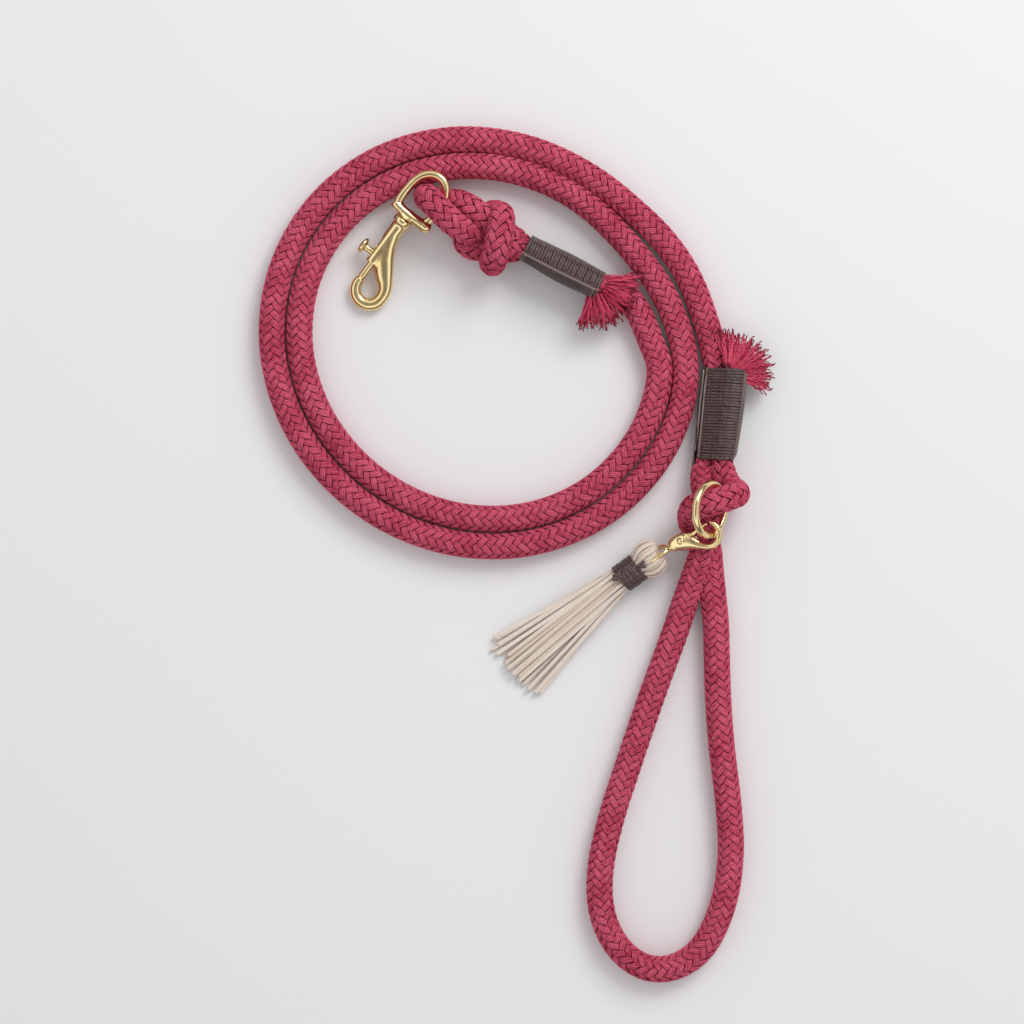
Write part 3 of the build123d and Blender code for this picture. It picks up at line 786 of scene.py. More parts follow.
snap_flap, hand_flap = leather_middle + 0.95 * MM, leather_middle + 0.9 * MM
snap_leather = finished_leather("snap_collar_leather", [
    wrapped_leather("snap_collar", leather_middle, (0.0, 1.0), 0.5 * MM, (-0.01, 1.02), 3),
    wrapped_leather("snap_collar", snap_flap, (0.0, 0.19), 0.3 * MM, (0.02, 0.98), 5, 0.16),
])
hand_leather = finished_leather("hand_collar_leather", [
    wrapped_leather("hand_collar", leather_middle, (0.0, 1.0), 0.6 * MM, (-0.01, 1.04), 8),
    wrapped_leather("hand_collar", hand_flap, (0.0, 0.055), 0.4 * MM, (0.0, 1.02), 9),
    wrapped_leather("hand_collar", hand_flap, (0.945, 1.0), 0.4 * MM, (0.0, 1.02), 10),
])

# %% [markdown]
# ## The waxed twine
# Two plies of waxed linen are wound side by side across the gap between the lips, about
# thirty turns on each collar, and each end of a turn goes down under a lip. A turn is a tube
# along the open side of the stadium, so it is made in mesh code with a little seeded slack.

# %% Lace the collars
twine_radius = 0.67 * MM
twine_pitch = 1.27 * MM
twine_over_lip, twine_under_lip = 0.12 * MM, 0.42 * MM
turn_samples = 34


def lacing_turns(name, seed):
    """Closed tubes, one for each turn of twine across a collar's open side."""
    start, axis, side, length = collar_frame(name)
    chance = np.random.default_rng(seed)
    open_side = side_of_lips(name, leather_middle + twine_over_lip, True)
    low = side_of_lips(name, leather_middle - twine_under_lip, False)
    before, after = resampled(low[-40:], 8)[-5:-1], resampled(low[:40], 8)[1:5]
    profile = resampled(np.concatenate([before, open_side[::6], after]), turn_samples)
    profile[2:-2] = (profile[1:-3] + profile[2:-2] + profile[3:-1]) / 3
    out = unit_rows(profile - profile.mean(axis=0))
    tubes = []
    for turn in range(int((length + 0.6 * MM) / twine_pitch)):
        slack = smoothed(chance.normal(0, 1, len(profile)), 6) * 0.12 * MM
        place = (turn + 0.5) * twine_pitch + chance.normal(0, 0.05) * MM
        slant = np.linspace(-0.5, 0.5, len(profile)) * twine_pitch * 0.8
        along = place + slant + slack
        lift = abs(chance.normal(0, 0.08)) * MM * np.sin(np.linspace(0, math.pi, len(profile)))
        flat = profile + out * lift[:, None]
        across = np.array([across_at(name, beside, place / length) for beside in flat[:, 0]])
        line = (
            np.array(start) + along[:, None] * np.array(axis)
            + across[:, None] * np.array(side) + flat[:, 1:] * np.array((0, 0, 1))
        )
        line[:, 2] = np.maximum(line[:, 2], twine_radius)
        tubes.append(tube_along(line, twine_radius, 8, axis))
    return tubes


lacings = {}
for seed, name in enumerate(collars):
    tubes = lacing_turns(name, seed + 11)
    lacings[name] = closed_tubes(name + "_twine", tubes)
    print(lacings[name].name, "turns", len(tubes))

# %% [markdown]
# ## The frayed ends
# Past each collar the rope's end is unlaid: the strands open into yarns, which fan out and
# lie over the rope beside them. Each yarn is a thin tube with a crimp left by the braid. Its
# height is pushed up wherever it would pass through a rope, and the tips are darker.

# %% Fan out the yarns
yarn_radius = 0.37 * MM
yarn_samples = 15
crimp_length, crimp_width, crimp_height = 3.6, 0.28, 0.12
fringe_plans = {
    "snap_fringe": ((34.9, 114.2, 12.6), 4.3, (-112.0, 12.0), 200, (0, 24), 21, 2.6),
    "hand_fringe": ((93.2, 79.0, 11.3), 4.2, (-28.0, 108.0), 190, (-24, None), 22, 2.4),
}


def height_over_rope(places, own_samples, gap):
    """The lowest height at which a yarn clears the rope below it."""
    kept = np.delete(rope_points, np.arange(len(rope_points))[slice(*own_samples)], axis=0)
    reach = np.delete(rope_radius, np.arange(len(rope_radius))[slice(*own_samples)]) + gap
    flat = np.linalg.norm(places[:, None, :2] - kept[None, :, :2], axis=2)
    above = kept[:, 2] + np.sqrt(np.maximum(reach**2 - flat**2, 0))
    return np.where(flat < reach, above, 0).max(axis=1)


def frayed_yarns(plan):
    """Tubes for the yarns of one end, fanned between two headings."""
    root_middle, root_reach, (first, last), count, own, seed, spread = plan
    root_turn = math.radians((first + last) / 2 + 90)
    root_way = np.array((math.cos(root_turn), math.sin(root_turn), 0))
    chance = np.random.default_rng(seed)
    tubes, tips, tones = [], [], []
    share = np.linspace(0, 1, yarn_samples)
    for index in range(count):
        fan = first + (last - first) * (index + chance.random()) / count
        heading = math.radians(fan)
        layer = chance.random()
        place = 2 * (fan - first) / (last - first) - 1
        reach = (13.0 + 3.6 * chance.random()) * (0.76 + 0.24 * math.sqrt(layer))
        reach *= 1.12 - 0.14 * abs(place)
        bend = chance.normal(0, 11)
        root = np.array(root_middle) + root_way * root_reach * place
        root += chance.normal(0, 1, 3) * (0.7, 0.7, 1.3)
        turned = heading + np.radians(bend) * share**1.5
        step = reach / (yarn_samples - 1)
        run = np.stack([np.cos(turned), np.sin(turned)], 1) * step
        flat = np.concatenate([[[0, 0]], np.cumsum(run, axis=0)[:-1]])
        crimp = np.sin(share * reach * 2 * math.pi / crimp_length + chance.random() * 6)
        sway = crimp * crimp_width * share**0.5
        beside = np.stack([-np.sin(turned), np.cos(turned)], 1) * sway[:, None]
        height = root[2] + (layer - 0.45) * 3.4 * share + spread * share * (1 - share)
        height -= (6.5 - 5.0 * layer) * share**2
        height += crimp * crimp_height
        line = np.column_stack([root[:2] + flat + beside, height]) * MM
        line[:, 2] = np.maximum(line[:, 2], height_over_rope(line, own, yarn_radius + 0.1 * MM))
        line[:, 2] = np.maximum(smoothed(line[:, 2], 1), yarn_radius)
        line[:, 2] = np.maximum(line[:, 2], height_over_rope(line, own, yarn_radius))
        thin = yarn_radius * (1.05 - 0.3 * share) * (0.85 + 0.3 * chance.random())
        tubes.append(tube_along(line, thin, 6))
        tips.append(share)
        tones.append(np.full(yarn_samples, chance.random()))
    return tubes, tips, tones


fringes = {}
for name, plan in fringe_plans.items():
    tubes, tips, tones = frayed_yarns(plan)
    fringes[name] = closed_tubes(name, tubes, tip=tips, tone=tones)
    print(name, "yarns", len(tubes), "triangles", triangles(fringes[name]))

# %% [markdown]
# ## The tassel
# Twelve long suede strips are folded over the clasp's wire eye and lashed under the fold, so
# the head and the hanging strands are the same strips. Each strip is one ribbon along a
# spline: out from a tip, under the lashing, round the head, through the eye and back.

# %% Tassel frame
lashing_place = Vector((49.0, -8.4, 7.0)) * MM
tassel_heading = math.radians(215.8)
tassel_along = Vector((math.cos(tassel_heading), math.sin(tassel_heading), 0))
tassel_across = Vector((-math.sin(tassel_heading), math.cos(tassel_heading), 0))


def tassel_directions(local, start=0):
    """Directions given along, across and up, in the tassel's own axes."""
    return (
        start + local[:, :1] * np.array(tassel_along) + local[:, 1:2] * np.array(tassel_across)
        + local[:, 2:] * np.array((0, 0, 1))
    )


def tassel_places(local):
    """Places given in millimetres from the middle of the lashing."""
    return tassel_directions(np.asarray(local) * MM, np.array(lashing_place))


# %% One strip
strip_count = 12
fold_along, fold_across, fold_up = -13.4, -0.9, 5.6
strand_length = 66.5
strand_drift = 4.5
floor_below = -7.0
lashing_end = 5.4
strip_chance = np.random.default_rng(31)


def strip_rise(number):
    """How far round the head a strip lies, in degrees above its middle."""
    return -74 + 166 * (number + 0.5) / strip_count


def strip_side(number, mirror, tip_across, tip_layer, tip_reach):
    """Half a strip as key points, from the fold to the tip, on one side of the head."""
    phi = math.radians(strip_rise(number))
    stack = (number + 0.5) / strip_count - 0.5
    inner = number % 2
    bulge = 7.9 - 0.9 * inner
    tied = 4.9 - 1.3 * inner

    def round_head(along, reach, lift=0.0):
        return (along, mirror * reach * math.cos(phi), reach * math.sin(phi) + lift)

    fold_height = fold_up + stack * 3.6
    fold_deep = fold_along - 0.8 * inner
    ground = floor_below + 0.75 + 1.15 * tip_layer
    tied_across, tied_up = tied * mirror * math.cos(phi), tied * math.sin(phi)

    def hanging(share):
        """A place on the straight run from the lashing to the tip, sagging a little."""
        across = tied_across + (tip_across - tied_across) * share
        up = tied_up + (ground - tied_up) * share**0.8
        return (lashing_end + (tip_reach - lashing_end) * share, across, up)

    return [
        (fold_deep, fold_across, fold_height),
        (fold_deep - 1.4, fold_across * 0.7 + mirror * 1.9, fold_height * 0.9 + 0.2 * tied_up),
        (-16.2, fold_across * 0.3 + mirror * (2.2 + 2.6 * math.cos(phi)),
         2.4 + 3.6 * math.sin(phi)),
        round_head(-13.6, bulge * 0.94, 1.3), round_head(-10.2, bulge * 1.04, 0.9),
        round_head(-7.2, bulge * 0.92, 0.4), round_head(-4.6, tied), round_head(0, tied),
        round_head(lashing_end, tied), hanging(0.2), hanging(0.45), hanging(0.72), hanging(1.0),
    ]


def ribbon_rings(points, width_ways, half_width, half_thickness):
    """Rounded rectangles along a line: eight points each, with softened corners."""
    tangents = unit_rows(np.gradient(points, axis=0))
    across_line = tangents * (width_ways * tangents).sum(axis=1)[:, None]
    width_ways = unit_rows(width_ways - across_line)
    normals = np.cross(tangents, width_ways)
    across = np.array((-1, -0.8, 0.8, 1, 1, 0.8, -0.8, -1)) * half_width
    up = np.array((-0.5, -1, -1, -0.5, 0.5, 1, 1, 0.5)) * half_thickness
    return (
        points[:, None] + width_ways[:, None] * across[None, :, None]
        + normals[:, None] * up[None, :, None]
    )


# %% Fold and fan the strips
strip_spacing = 1.1
strip_half_width, strip_half_thickness = 0.93, 0.5 * MM
strip_tubes, strip_tones = [], []
tip_order = strip_chance.permutation(2 * strip_count)
exit_order = sorted(
    [(number, mirror) for number in range(strip_count) for mirror in (1, -1)],
    key=lambda half: -half[1] * math.cos(math.radians(strip_rise(half[0]))),
)
for number in range(strip_count):
    halves = []
    for mirror in (1, -1):
        slot = exit_order.index((number, mirror))
        shuffled = slot + strip_chance.normal(0, 0.8)
        tip_across = strand_drift + (1 - (shuffled + 0.5) / strip_count) * 16.6
        layer = 2 * (number / strip_count) + 0.4 * (tip_order[slot] % 3) - 0.4
        reach = strand_length + strip_chance.normal(0, 1.6) - 3.2 * (tip_across / 20) ** 2
        halves.append(strip_side(number, mirror, tip_across, layer, reach))
    local_route = halves[0][::-1] + halves[1]
    local_line = spline_line("strip_line", local_route, 10) / MM
    local_line = even_line(local_line, strip_spacing)
    along = local_line[:, 0]
    fold_place = np.array(local_route[len(halves[0]) - 1])
    fold_sample = np.argmin(np.linalg.norm(local_line - fold_place, axis=1))
    from_fold = np.arange(len(local_line)) - fold_sample
    side_sign = np.where(from_fold < 0, 1, -1)
    phi = math.radians(strip_rise(number))
    round_way = np.stack([along * 0, -side_sign * math.sin(phi), along * 0 + math.cos(phi)], 1)
    upright = np.tile((0.0, 0.0, 1.0), (len(along), 1))
    roll = math.radians(strip_chance.normal(0, 24))
    facing = -side_sign if phi > 0 else side_sign
    flat_way = np.stack([along * 0, facing * math.cos(roll), along * 0 + math.sin(roll)], 1)
    at_fold = np.clip(3.6 - abs(from_fold) * strip_spacing / 1.6, 0, 1)[:, None]
    fanned = smooth_step((along - 5) / 16)[:, None]
    ways = upright * at_fold + (round_way * (1 - fanned) + flat_way * fanned) * (1 - at_fold)
    half_width = (strip_half_width + strip_chance.normal(0, 0.06)) * MM
    places, width_ways = tassel_places(local_line), tassel_directions(ways)
    ribbon = ribbon_rings(places, width_ways, half_width, strip_half_thickness)
    ribbon[:, :, 2] = np.maximum(ribbon[:, :, 2], floor_clearance)
    strip_tubes.append(ribbon)
    strip_tones.append(np.full(len(ribbon), strip_chance.random()))

tassel_strips = closed_tubes("tassel_strips", strip_tubes, tone=strip_tones)
print("tassel strips", len(strip_tubes), "triangles", triangles(tassel_strips))

# %% Core and lashing
core_along = np.array((-10.6, -10.2, -9.0, -7.5, -5.5, -3.5, 0.0, 4.0, 6.0, 9.0, 13.0))
core_reach = np.array((0.6, 2.4, 4.4, 5.3, 4.6, 3.6, 3.4, 3.5, 3.4, 2.6, 0.6)) * MM
core_lift = np.interp(core_along, (-11.5, -6.0, 0.0), (1.3, 0.6, 0.0))
core_line = tassel_places(np.stack([core_along, core_along * 0, core_lift], 1))
# The core fills the head and wears the dark copy of the suede, as painted shade between the
# strips.
tassel_core = closed_tubes("tassel_core", [tube_along(core_line, core_reach, 20)])

lashing_turns, lashing_pitch, lashing_radius = 9, 1.1, 5.95
tail_radius = 0.6 * MM


def lashing_turn(turn, chance):
    """One turn, tilted a little, so that its ends pass to the next turn."""
    angle = np.linspace(0, 2 * math.pi, 41)[:-1]
    middle = (turn - (lashing_turns - 1) / 2) * lashing_pitch
    waver = 0.12 * np.sin(angle * 2 + chance.random() * 6)
    waver += 0.07 * np.sin(angle * 5 + chance.random() * 6)
    reach = lashing_radius + 0.1 * chance.random()
    reach = reach + 0.08 * np.sin(angle * 3 + chance.random() * 6)
    along = middle + 0.75 * np.sin(angle - 0.6) + waver
    return tassel_places(np.stack([along, reach * np.cos(angle), reach * np.sin(angle)], 1))


twine_chance = np.random.default_rng(41)
lashing_tubes = []
for turn in range(lashing_turns):
    ring = lashing_turn(turn, twine_chance)
    ring = np.concatenate([ring, ring[:2]])  # the tube overlaps its own start
    lashing_tubes.append(tube_along(ring, tail_radius, first_side=tuple(tassel_along)))
tail_routes = [
    [(-3.4, 0.4, 5.9), (-4.9, 0.2, 6.9), (-6.6, -0.4, 7.9), (-7.6, -0.9, 8.2)],
    [(-3.4, -0.5, 5.9), (-5.0, -0.9, 6.8), (-6.2, 0.9, 7.9), (-6.9, 1.7, 8.1)],
    [(3.6, -1.2, 6.0), (5.0, -1.5, 6.6), (6.4, -1.2, 6.2), (7.9, -1.9, 5.6)],
    [(3.6, -2.1, 5.8), (5.0, -2.4, 6.2), (6.0, -3.2, 5.7), (6.9, -3.3, 5.3)],
]
for route in tail_routes:
    tail = even_line(spline_line("tail_line", route, 8) / MM, 0.4)
    lashing_tubes.append(tube_along(tassel_places(tail), tail_radius))
tassel_lashing = closed_tubes("tassel_twine", lashing_tubes)
print("lashing turns", lashing_turns)

# %% [markdown]
# ## Cast brass
# The snap, its eye and the small clasp are cast, then tumbled and polished, so every edge is
# round and one form flows into the next. Bars of changing thickness and turned discs give the
# main forms. A fine voxel remesh fuses them, as the mould does, and a few smoothing steps
# round the seams, as polishing does. Each fitting is modelled in its own axes, x towards the
# rope, and laid in its place at the end.

# %% Fitting tools
def fitting_place(origin, heading, rise):
    """The turn and shift from a fitting's own axes to its place."""
    turn, lift = math.radians(heading), math.radians(rise)
    level = math.cos(lift)
    along = Vector((math.cos(turn) * level, math.sin(turn) * level, math.sin(lift)))
    side = Vector((-math.sin(turn), math.cos(turn), 0))
    rotation = Matrix((along, side, along.cross(side))).transposed().to_4x4()
    return Matrix.Translation(Vector(origin) * MM) @ rotation


def rod(start, end, radius, end_radius=None, sides=40):
    """A round bar or cone between two places, from a primitive."""
    start, end = Vector(start) * MM, Vector(end) * MM
    bpy.ops.mesh.primitive_cone_add(
        vertices=sides, radius1=radius * MM, radius2=(end_radius or radius) * MM,
        depth=(end - start).length,
    )
    piece = bpy.context.active_object
    turn = (end - start).to_track_quat("Z", "Y").to_matrix().to_4x4()
    piece.data.transform(Matrix.Translation((start + end) / 2) @ turn)
    return piece


def bar(stations, hint=(0, 0, 1), steps=9, around=28):
    """A bar through stations of x, y, z, half width and half height, with a round section."""
    stations = np.array(stations, float)
    before = 2 * stations[0] - stations[1]
    after = 2 * stations[-1] - stations[-2]
    padded = np.vstack([before, stations, after])
    share = np.linspace(0, 1, steps, endpoint=False)[:, None]
    runs = []
    for a, b, c, d in zip(padded, padded[1:], padded[2:], padded[3:]):
        bend = 2 * b + (c - a) * share + (2 * a - 5 * b + 4 * c - d) * share**2
        runs.append((bend + (3 * b - a - 3 * c + d) * share**3) / 2)
    path = np.vstack([*runs, stations[-1:]])
    line, half_width, half_height = path[:, :3] * MM, path[:, 3:4] * MM, path[:, 4:] * MM
    tangents = unit_rows(np.gradient(line, axis=0))
    sides = unit_rows(np.cross(np.array(hint, float), tangents))
    ups = np.cross(tangents, sides)
    rings = round_rings(line, sides * half_width, ups * half_height, 1.0, around)
    return closed_tubes("bar", [rings])


# %% Plates and casting
def plate(outline, half_thickness):
    """A flat plate, as thick above its outline's plane as below it."""
    mesh = bpy.data.meshes.new("plate")
    corners = [(x * MM, y * MM, -half_thickness * MM) for x, y in outline]
    mesh.from_pydata(corners, [], [list(range(len(corners)))])
    piece = bpy.data.objects.new("plate", mesh)
    bpy.context.scene.collection.objects.link(piece)
    joined([piece], "plate")
    bpy.ops.object.mode_set(mode="EDIT")
    bpy.ops.mesh.select_all(action="SELECT")
    lift = {"value": (0, 0, 2 * half_thickness * MM)}
    bpy.ops.mesh.extrude_region_move(TRANSFORM_OT_translate=lift)
    outward_faces()
    return piece


def cast(name, parts, place, voxel=0.24, polish=5, cuts=()):
    """Fuses the forms, cuts the bores, polishes the edges and lays the fitting in place."""
    piece = joined(parts, name)
    applied(piece, "REMESH", mode="VOXEL", voxel_size=voxel * MM)
    for cut in cuts:
        applied(piece, "BOOLEAN", operation="DIFFERENCE", solver="EXACT", object=cut)
        bpy.data.objects.remove(cut)
    if cuts:
        applied(piece, "REMESH", mode="VOXEL", voxel_size=voxel * MM)
    applied(piece, "SMOOTH", factor=0.5, iterations=polish)
    while piece.data.uv_layers:
        piece.data.uv_layers.remove(piece.data.uv_layers[0])
    piece.data.transform(place)
    piece.data.shade_smooth()
    print(name, "triangles", triangles(piece))
    return piece


# %% The snap's body
snap_place = fitting_place((-48.8, 143.2, 11.35), 52.3, 12.5)
hook_stations = [
    (-7, 0.0, 0, 3.45, 3.4), (-11.89, -0.9, 0, 3.9, 3.4), (-15.27, -1.9, 0, 4.35, 3.35),
    (-18.65, -3.4, 0, 4.55, 3.25), (-21.93, -5.8, 0, 4.4, 3.1), (-24.63, -8.1, 0, 4.0, 2.95),
    (-26.85, -10.3, 0, 3.35, 2.85), (-29.65, -11.9, 0, 3.05, 2.8), (-32.74, -12.4, 0, 2.95, 2.75),
    (-36.02, -11.7, 0, 2.95, 2.75), (-38.43, -9.5, 0, 2.8, 2.7), (-39.3, -6.4, 0, 2.7, 2.65),
    (-38.53, -3.3, 0, 2.6, 2.55), (-36.5, -1.1, 0, 2.45, 2.45), (-34.09, -0.1, 0, 2.3, 2.35),
    (-32.26, 0, 0, 2.1, 2.2), (-30.91, 0, 0, 1.85, 1.95),
]
snap_body = cast(
    "snap_body_brass",
    [
        rod((-1.3, 0, 0), (1.15, 0, 0), 4.3), rod((-2.4, 0, 0), (-1.3, 0, 0), 3.4, 4.1),
        rod((-22.9, 0, 0), (-1.5, 0, 0), 3.45), bar(hook_stations),
    ],
    snap_place, polish=34, cuts=[
        rod((-30.0, 0, 0), (-4.4, 0, 0), 1.85, sides=24),
        rod((-4.6, 0, 0), (3.0, 0, 0), 1.75, sides=24),
        plate([(-21.4, 0), (-11.0, 0), (-11.0, 5), (-21.4, 5)], 2.1),
    ],
)

# %% The snap's eye
eye_stations = [
    (4.2, 5.6, 0, 2.12, 2.06), (6.2, 6.6, 0, 2.05, 1.95), (9.55, 6.9, 0, 1.9, 1.8),
    (13.36, 6.7, 0, 1.85, 1.8), (17.29, 6.1, 0, 1.85, 1.8), (20.78, 4.7, 0, 1.85, 1.8),
    (23.4, 2.2, 0, 1.85, 1.8), (24.6, -0.8, 0, 1.85, 1.8), (24.27, -3.8, 0, 1.85, 1.8),
    (22.53, -6.5, 0, 1.85, 1.8), (19.47, -8.4, 0, 1.85, 1.8), (15.98, -9.3, 0, 1.85, 1.8),
    (12.27, -9.4, 0, 1.85, 1.8), (9, -9.3, 0, 1.9, 1.8), (6.4, -8.9, 0, 2.05, 1.95),
    (4.2, -8, 0, 2.12, 2.06),
]
base_stations = [
    (4.4, 8.1, 0, 1.1, 1.66), (4.1, 7.1, 0, 2.2, 2.5), (3.8, 4.9, 0, 2.37, 2.7),
    (3.6, 2.1, 0, 2.31, 2.7), (3.6, -0.9, 0, 2.31, 2.81), (3.6, -3.9, 0, 2.31, 2.7),
    (3.7, -6.9, 0, 2.42, 2.7), (3.9, -9.5, 0, 2.75, 3.02), (4, -11.1, 0, 2.09, 2.39),
    (4.1, -11.8, 0, 0.99, 1.25),
]
snap_eye = cast(
    "snap_eye_brass",
    [
        bar(eye_stations[::-1]), bar(base_stations), rod((1.4, 0, 0), (2.6, 0, 0), 3.4, 3.9),
        rod((-4.6, 0, 0), (2.0, 0, 0), 1.45),
    ],
    snap_place, polish=10,
)

# %% The bolt and its thumb knob
knob_discs = [
    (0.4, 4.6, 2.0, 1.5), (4.5, 6.7, 1.5, 1.7), (6.3, 7.1, 2.9, 3.8), (7.1, 7.9, 3.8),
    (7.9, 8.6, 3.7, 2.4),
]
snap_bolt = cast(
    "snap_bolt_brass",
    [
        rod((-30.6, 0, 0), (-16.0, 0, 0), 1.7), rod((-31.15, 0, 0), (-30.6, 0, 0), 1.2, 1.66),
        *[rod((-19.0, low, 0), (-19.0, top, 0), *radii) for low, top, *radii in knob_discs],
    ],
    snap_place, voxel=0.2, polish=3,
)

# %% [markdown]
# ## The bolt's spring
# A steel coil lies in the bore behind the bolt, and in the snap it is pressed together as the
# bolt is drawn back. The wire follows a helix, wound here at one fixed length.

# %% Wind the spring
spring_turns, spring_radius, spring_wire = 6, 1.1, 0.2
spring_samples = 24 * spring_turns
spring_front, spring_back = -15.9, -6.65
turn = np.linspace(0, spring_turns * 2 * math.pi, spring_samples)
coil = np.stack([
    np.linspace(spring_front + spring_wire, spring_back - spring_wire, len(turn)),
    spring_radius * np.cos(turn), spring_radius * np.sin(turn),
], 1)
coil_stations = [(*place, spring_wire, spring_wire) for place in coil]
bolt_coil = bar(coil_stations, hint=(1, 0, 0), steps=1, around=8)
bolt_coil.name = "bolt_spring_coil"
bolt_coil.data.transform(snap_place)
bolt_coil.data.shade_smooth()
print("spring", spring_turns, "turns")

# %% The tassel's ring
def ring_place(centre, low_end, tilt_side):
    """Axes of the ring: x to its lowest point, z along its own axis."""
    low = Vector(low_end).normalized()
    tilt = Vector(tilt_side)
    axis = (tilt - low * tilt.dot(low)).normalized()
    rotation = Matrix((low, axis.cross(low), axis)).transposed().to_4x4()
    return Matrix.Translation(Vector(centre) * MM) @ rotation


ring_wire, ring_reach = 1.6, 11.0
seam_turn, seam_width, seam_rise = 2.4, 0.035, 0.05
bpy.ops.mesh.primitive_torus_add(
    major_segments=120, minor_segments=28,
    major_radius=ring_reach * MM, minor_radius=ring_wire * MM,
)
tassel_ring = bpy.context.active_object
tassel_ring.name = "tassel_ring_brass"
for vertex in tassel_ring.data.vertices:
    turn = math.atan2(vertex.co.y, vertex.co.x)
    seam = math.exp(-(((turn - seam_turn) / seam_width) ** 2))
    middle = Vector((math.cos(turn), math.sin(turn), 0)) * ring_reach * MM
    vertex.co = middle + (vertex.co - middle) * (1 + seam_rise * seam)
tassel_ring.data.transform(
    ring_place((82.5, 18.9, 24.0), (0.08, -0.966, -0.236), (0.76, 0.12, 0.64))
)
tassel_ring.data.shade_smooth()
print("ring wire", 2 * ring_wire, "mm")

# %% The clasp's body
clasp_place = fitting_place((81.65, 8.05, 21.2), 199.8, -20.0)
clasp_hook = [
    (12.0, -0.2, 0, 2.3, 1.9), (9.6, 0.9, 0, 2.2, 2.0), (7.2, 1.9, 0, 1.95, 1.95),
    (5.1, 2.9, 0, 1.75, 1.8), (3.2, 4.0, 0, 1.55, 1.6), (0.8, 4.9, 0, 1.4, 1.45),
    (-1.8, 4.7, 0, 1.35, 1.4), (-4.0, 3.1, 0, 1.35, 1.4), (-5.1, 0.8, 0, 1.35, 1.4),
    (-5.1, -1.8, 0, 1.3, 1.35), (-4.2, -3.9, 0, 1.2, 1.25), (-2.9, -5.1, 0, 0.85, 0.9),
]
clasp_shank = [
    (17.9, -0.7, 0, 1.7, 1.5), (16.6, -0.9, 0, 2.6, 2.0), (14.4, -1.1, 0, 3.4, 2.3),
    (12.0, -1.0, 0, 3.8, 2.35), (9.8, -0.3, 0, 3.7, 2.35), (7.8, 0.8, 0, 3.1, 2.3),
    (6.0, 2.1, 0, 2.4, 2.1), (4.8, 3.0, 0, 1.95, 1.85),
]
clasp_body = cast(
    "clasp_body_brass",
    [
        bar(clasp_hook), bar(clasp_shank), rod((8.2, -1.9, -2.1), (8.2, -1.9, 2.1), 1.7),
        rod((11.8, -1.5, -2.85), (11.8, -1.5, 2.85), 1.15),
        rod((15.6, 0, 0), (18.2, 0, 0), 2.2, 1.7),
    ],
    clasp_place, voxel=0.16, polish=26, cuts=[
        plate([(2.6, -6.4), (10.6, -6.4), (10.6, -0.5), (6.2, -0.5), (2.6, -1.5)], 0.85),
        rod((13.6, 0, 0), (20.6, 0, 0), 1.2, sides=20),
    ],
)

# %% The clasp's gate and wire eye
clasp_gate = cast(
    "clasp_gate_brass",
    [
        bar([(8.2, -1.9, 0, 0.9, 0.75), (5.0, -2.9, 0, 0.8, 0.7), (1.8, -3.85, 0, 0.7, 0.65),
             (-1.5, -4.75, 0, 0.62, 0.62)]),
        rod((8.2, -1.9, -0.8), (8.2, -1.9, 0.8), 1.35),
    ],
    clasp_place, voxel=0.15,
)
eye_wire = 1.0
eye_loop = [
    (19.0, 0.5, 0.3), (20.6, 1.0, 1.6), (23.0, 1.7, 2.5), (25.8, 2.5, 2.6), (28.4, 2.9, 1.6),
    (29.3, 2.4, -0.2), (28.3, 1.0, -2.0), (25.8, -0.8, -2.9), (22.8, -1.8, -2.6),
    (20.4, -1.5, -1.5), (19.0, -0.5, -0.3),
]
eye_bar = [(*place, eye_wire, eye_wire) for place in eye_loop[::-1]]
clasp_eye = cast(
    "clasp_eye_brass",
    [
        bar(eye_bar, hint=(0, 1, 0)), rod((14.6, 0, 0), (19.8, 0, 0), 0.85),
        rod((18.7, 0, 0), (19.8, 0, 0), 1.5),
    ],
    clasp_place, voxel=0.15,
)

# %% [markdown]
# ## Leather, twine, suede and the frayed cotton
# The leather is dark brown with a fine grain of small cells. Its cut edges are lighter, partly
# in their own colour and partly as a painted highlight.
# Waxed twine shows its two plies as slanting ridges with a dull shine. Suede is cream with
# tan cut sides and a soft nap. The frayed cotton is the rope's own dye, with dark tips.

# %% Leather
def brown_leather():
    finish = Finish("brown_leather", Coat_Roughness=0.35, Coat_Weight=0.12)
    place = finish.object_place()
    cells = finish.node("TexVoronoi", {"feature": "DISTANCE_TO_EDGE"}, Vector=place, Scale=1500.0)
    grain = finish.ramp(cells, 0.02, 0.22)
    mottle = finish.noise(place, 160.0, 4.0)
    scuff = finish.ramp(finish.noise(place, 700.0, 5.0, 0.7), 0.56, 0.78)
    # Pointiness lightens the cut edges: partly the raw edge's own colour, partly a painted
    # highlight where the edges catch the light.
    edge_wear_and_highlight = finish.ramp(finish.node("NewGeometry", output="Pointiness"), 0.505, 0.56)
    tan = finish.ramp(mottle, 0.3, 0.7)
    colour = finish.mix(tan, (0.034, 0.021, 0.019, 1), (0.078, 0.050, 0.044, 1))
    colour = finish.mix(scuff * 0.6, colour, (0.20, 0.145, 0.125, 1))
    colour = finish.mix(edge_wear_and_highlight * 0.85, colour, (0.30, 0.225, 0.195, 1))
    finish.bump(grain * 0.7 + mottle * 0.6 + scuff * 0.3, 0.00012, 0.7)
    return finish.done(Base_Color=colour, Roughness=finish.ramp(mottle, 0.3, 0.7, 0.42, 0.62))


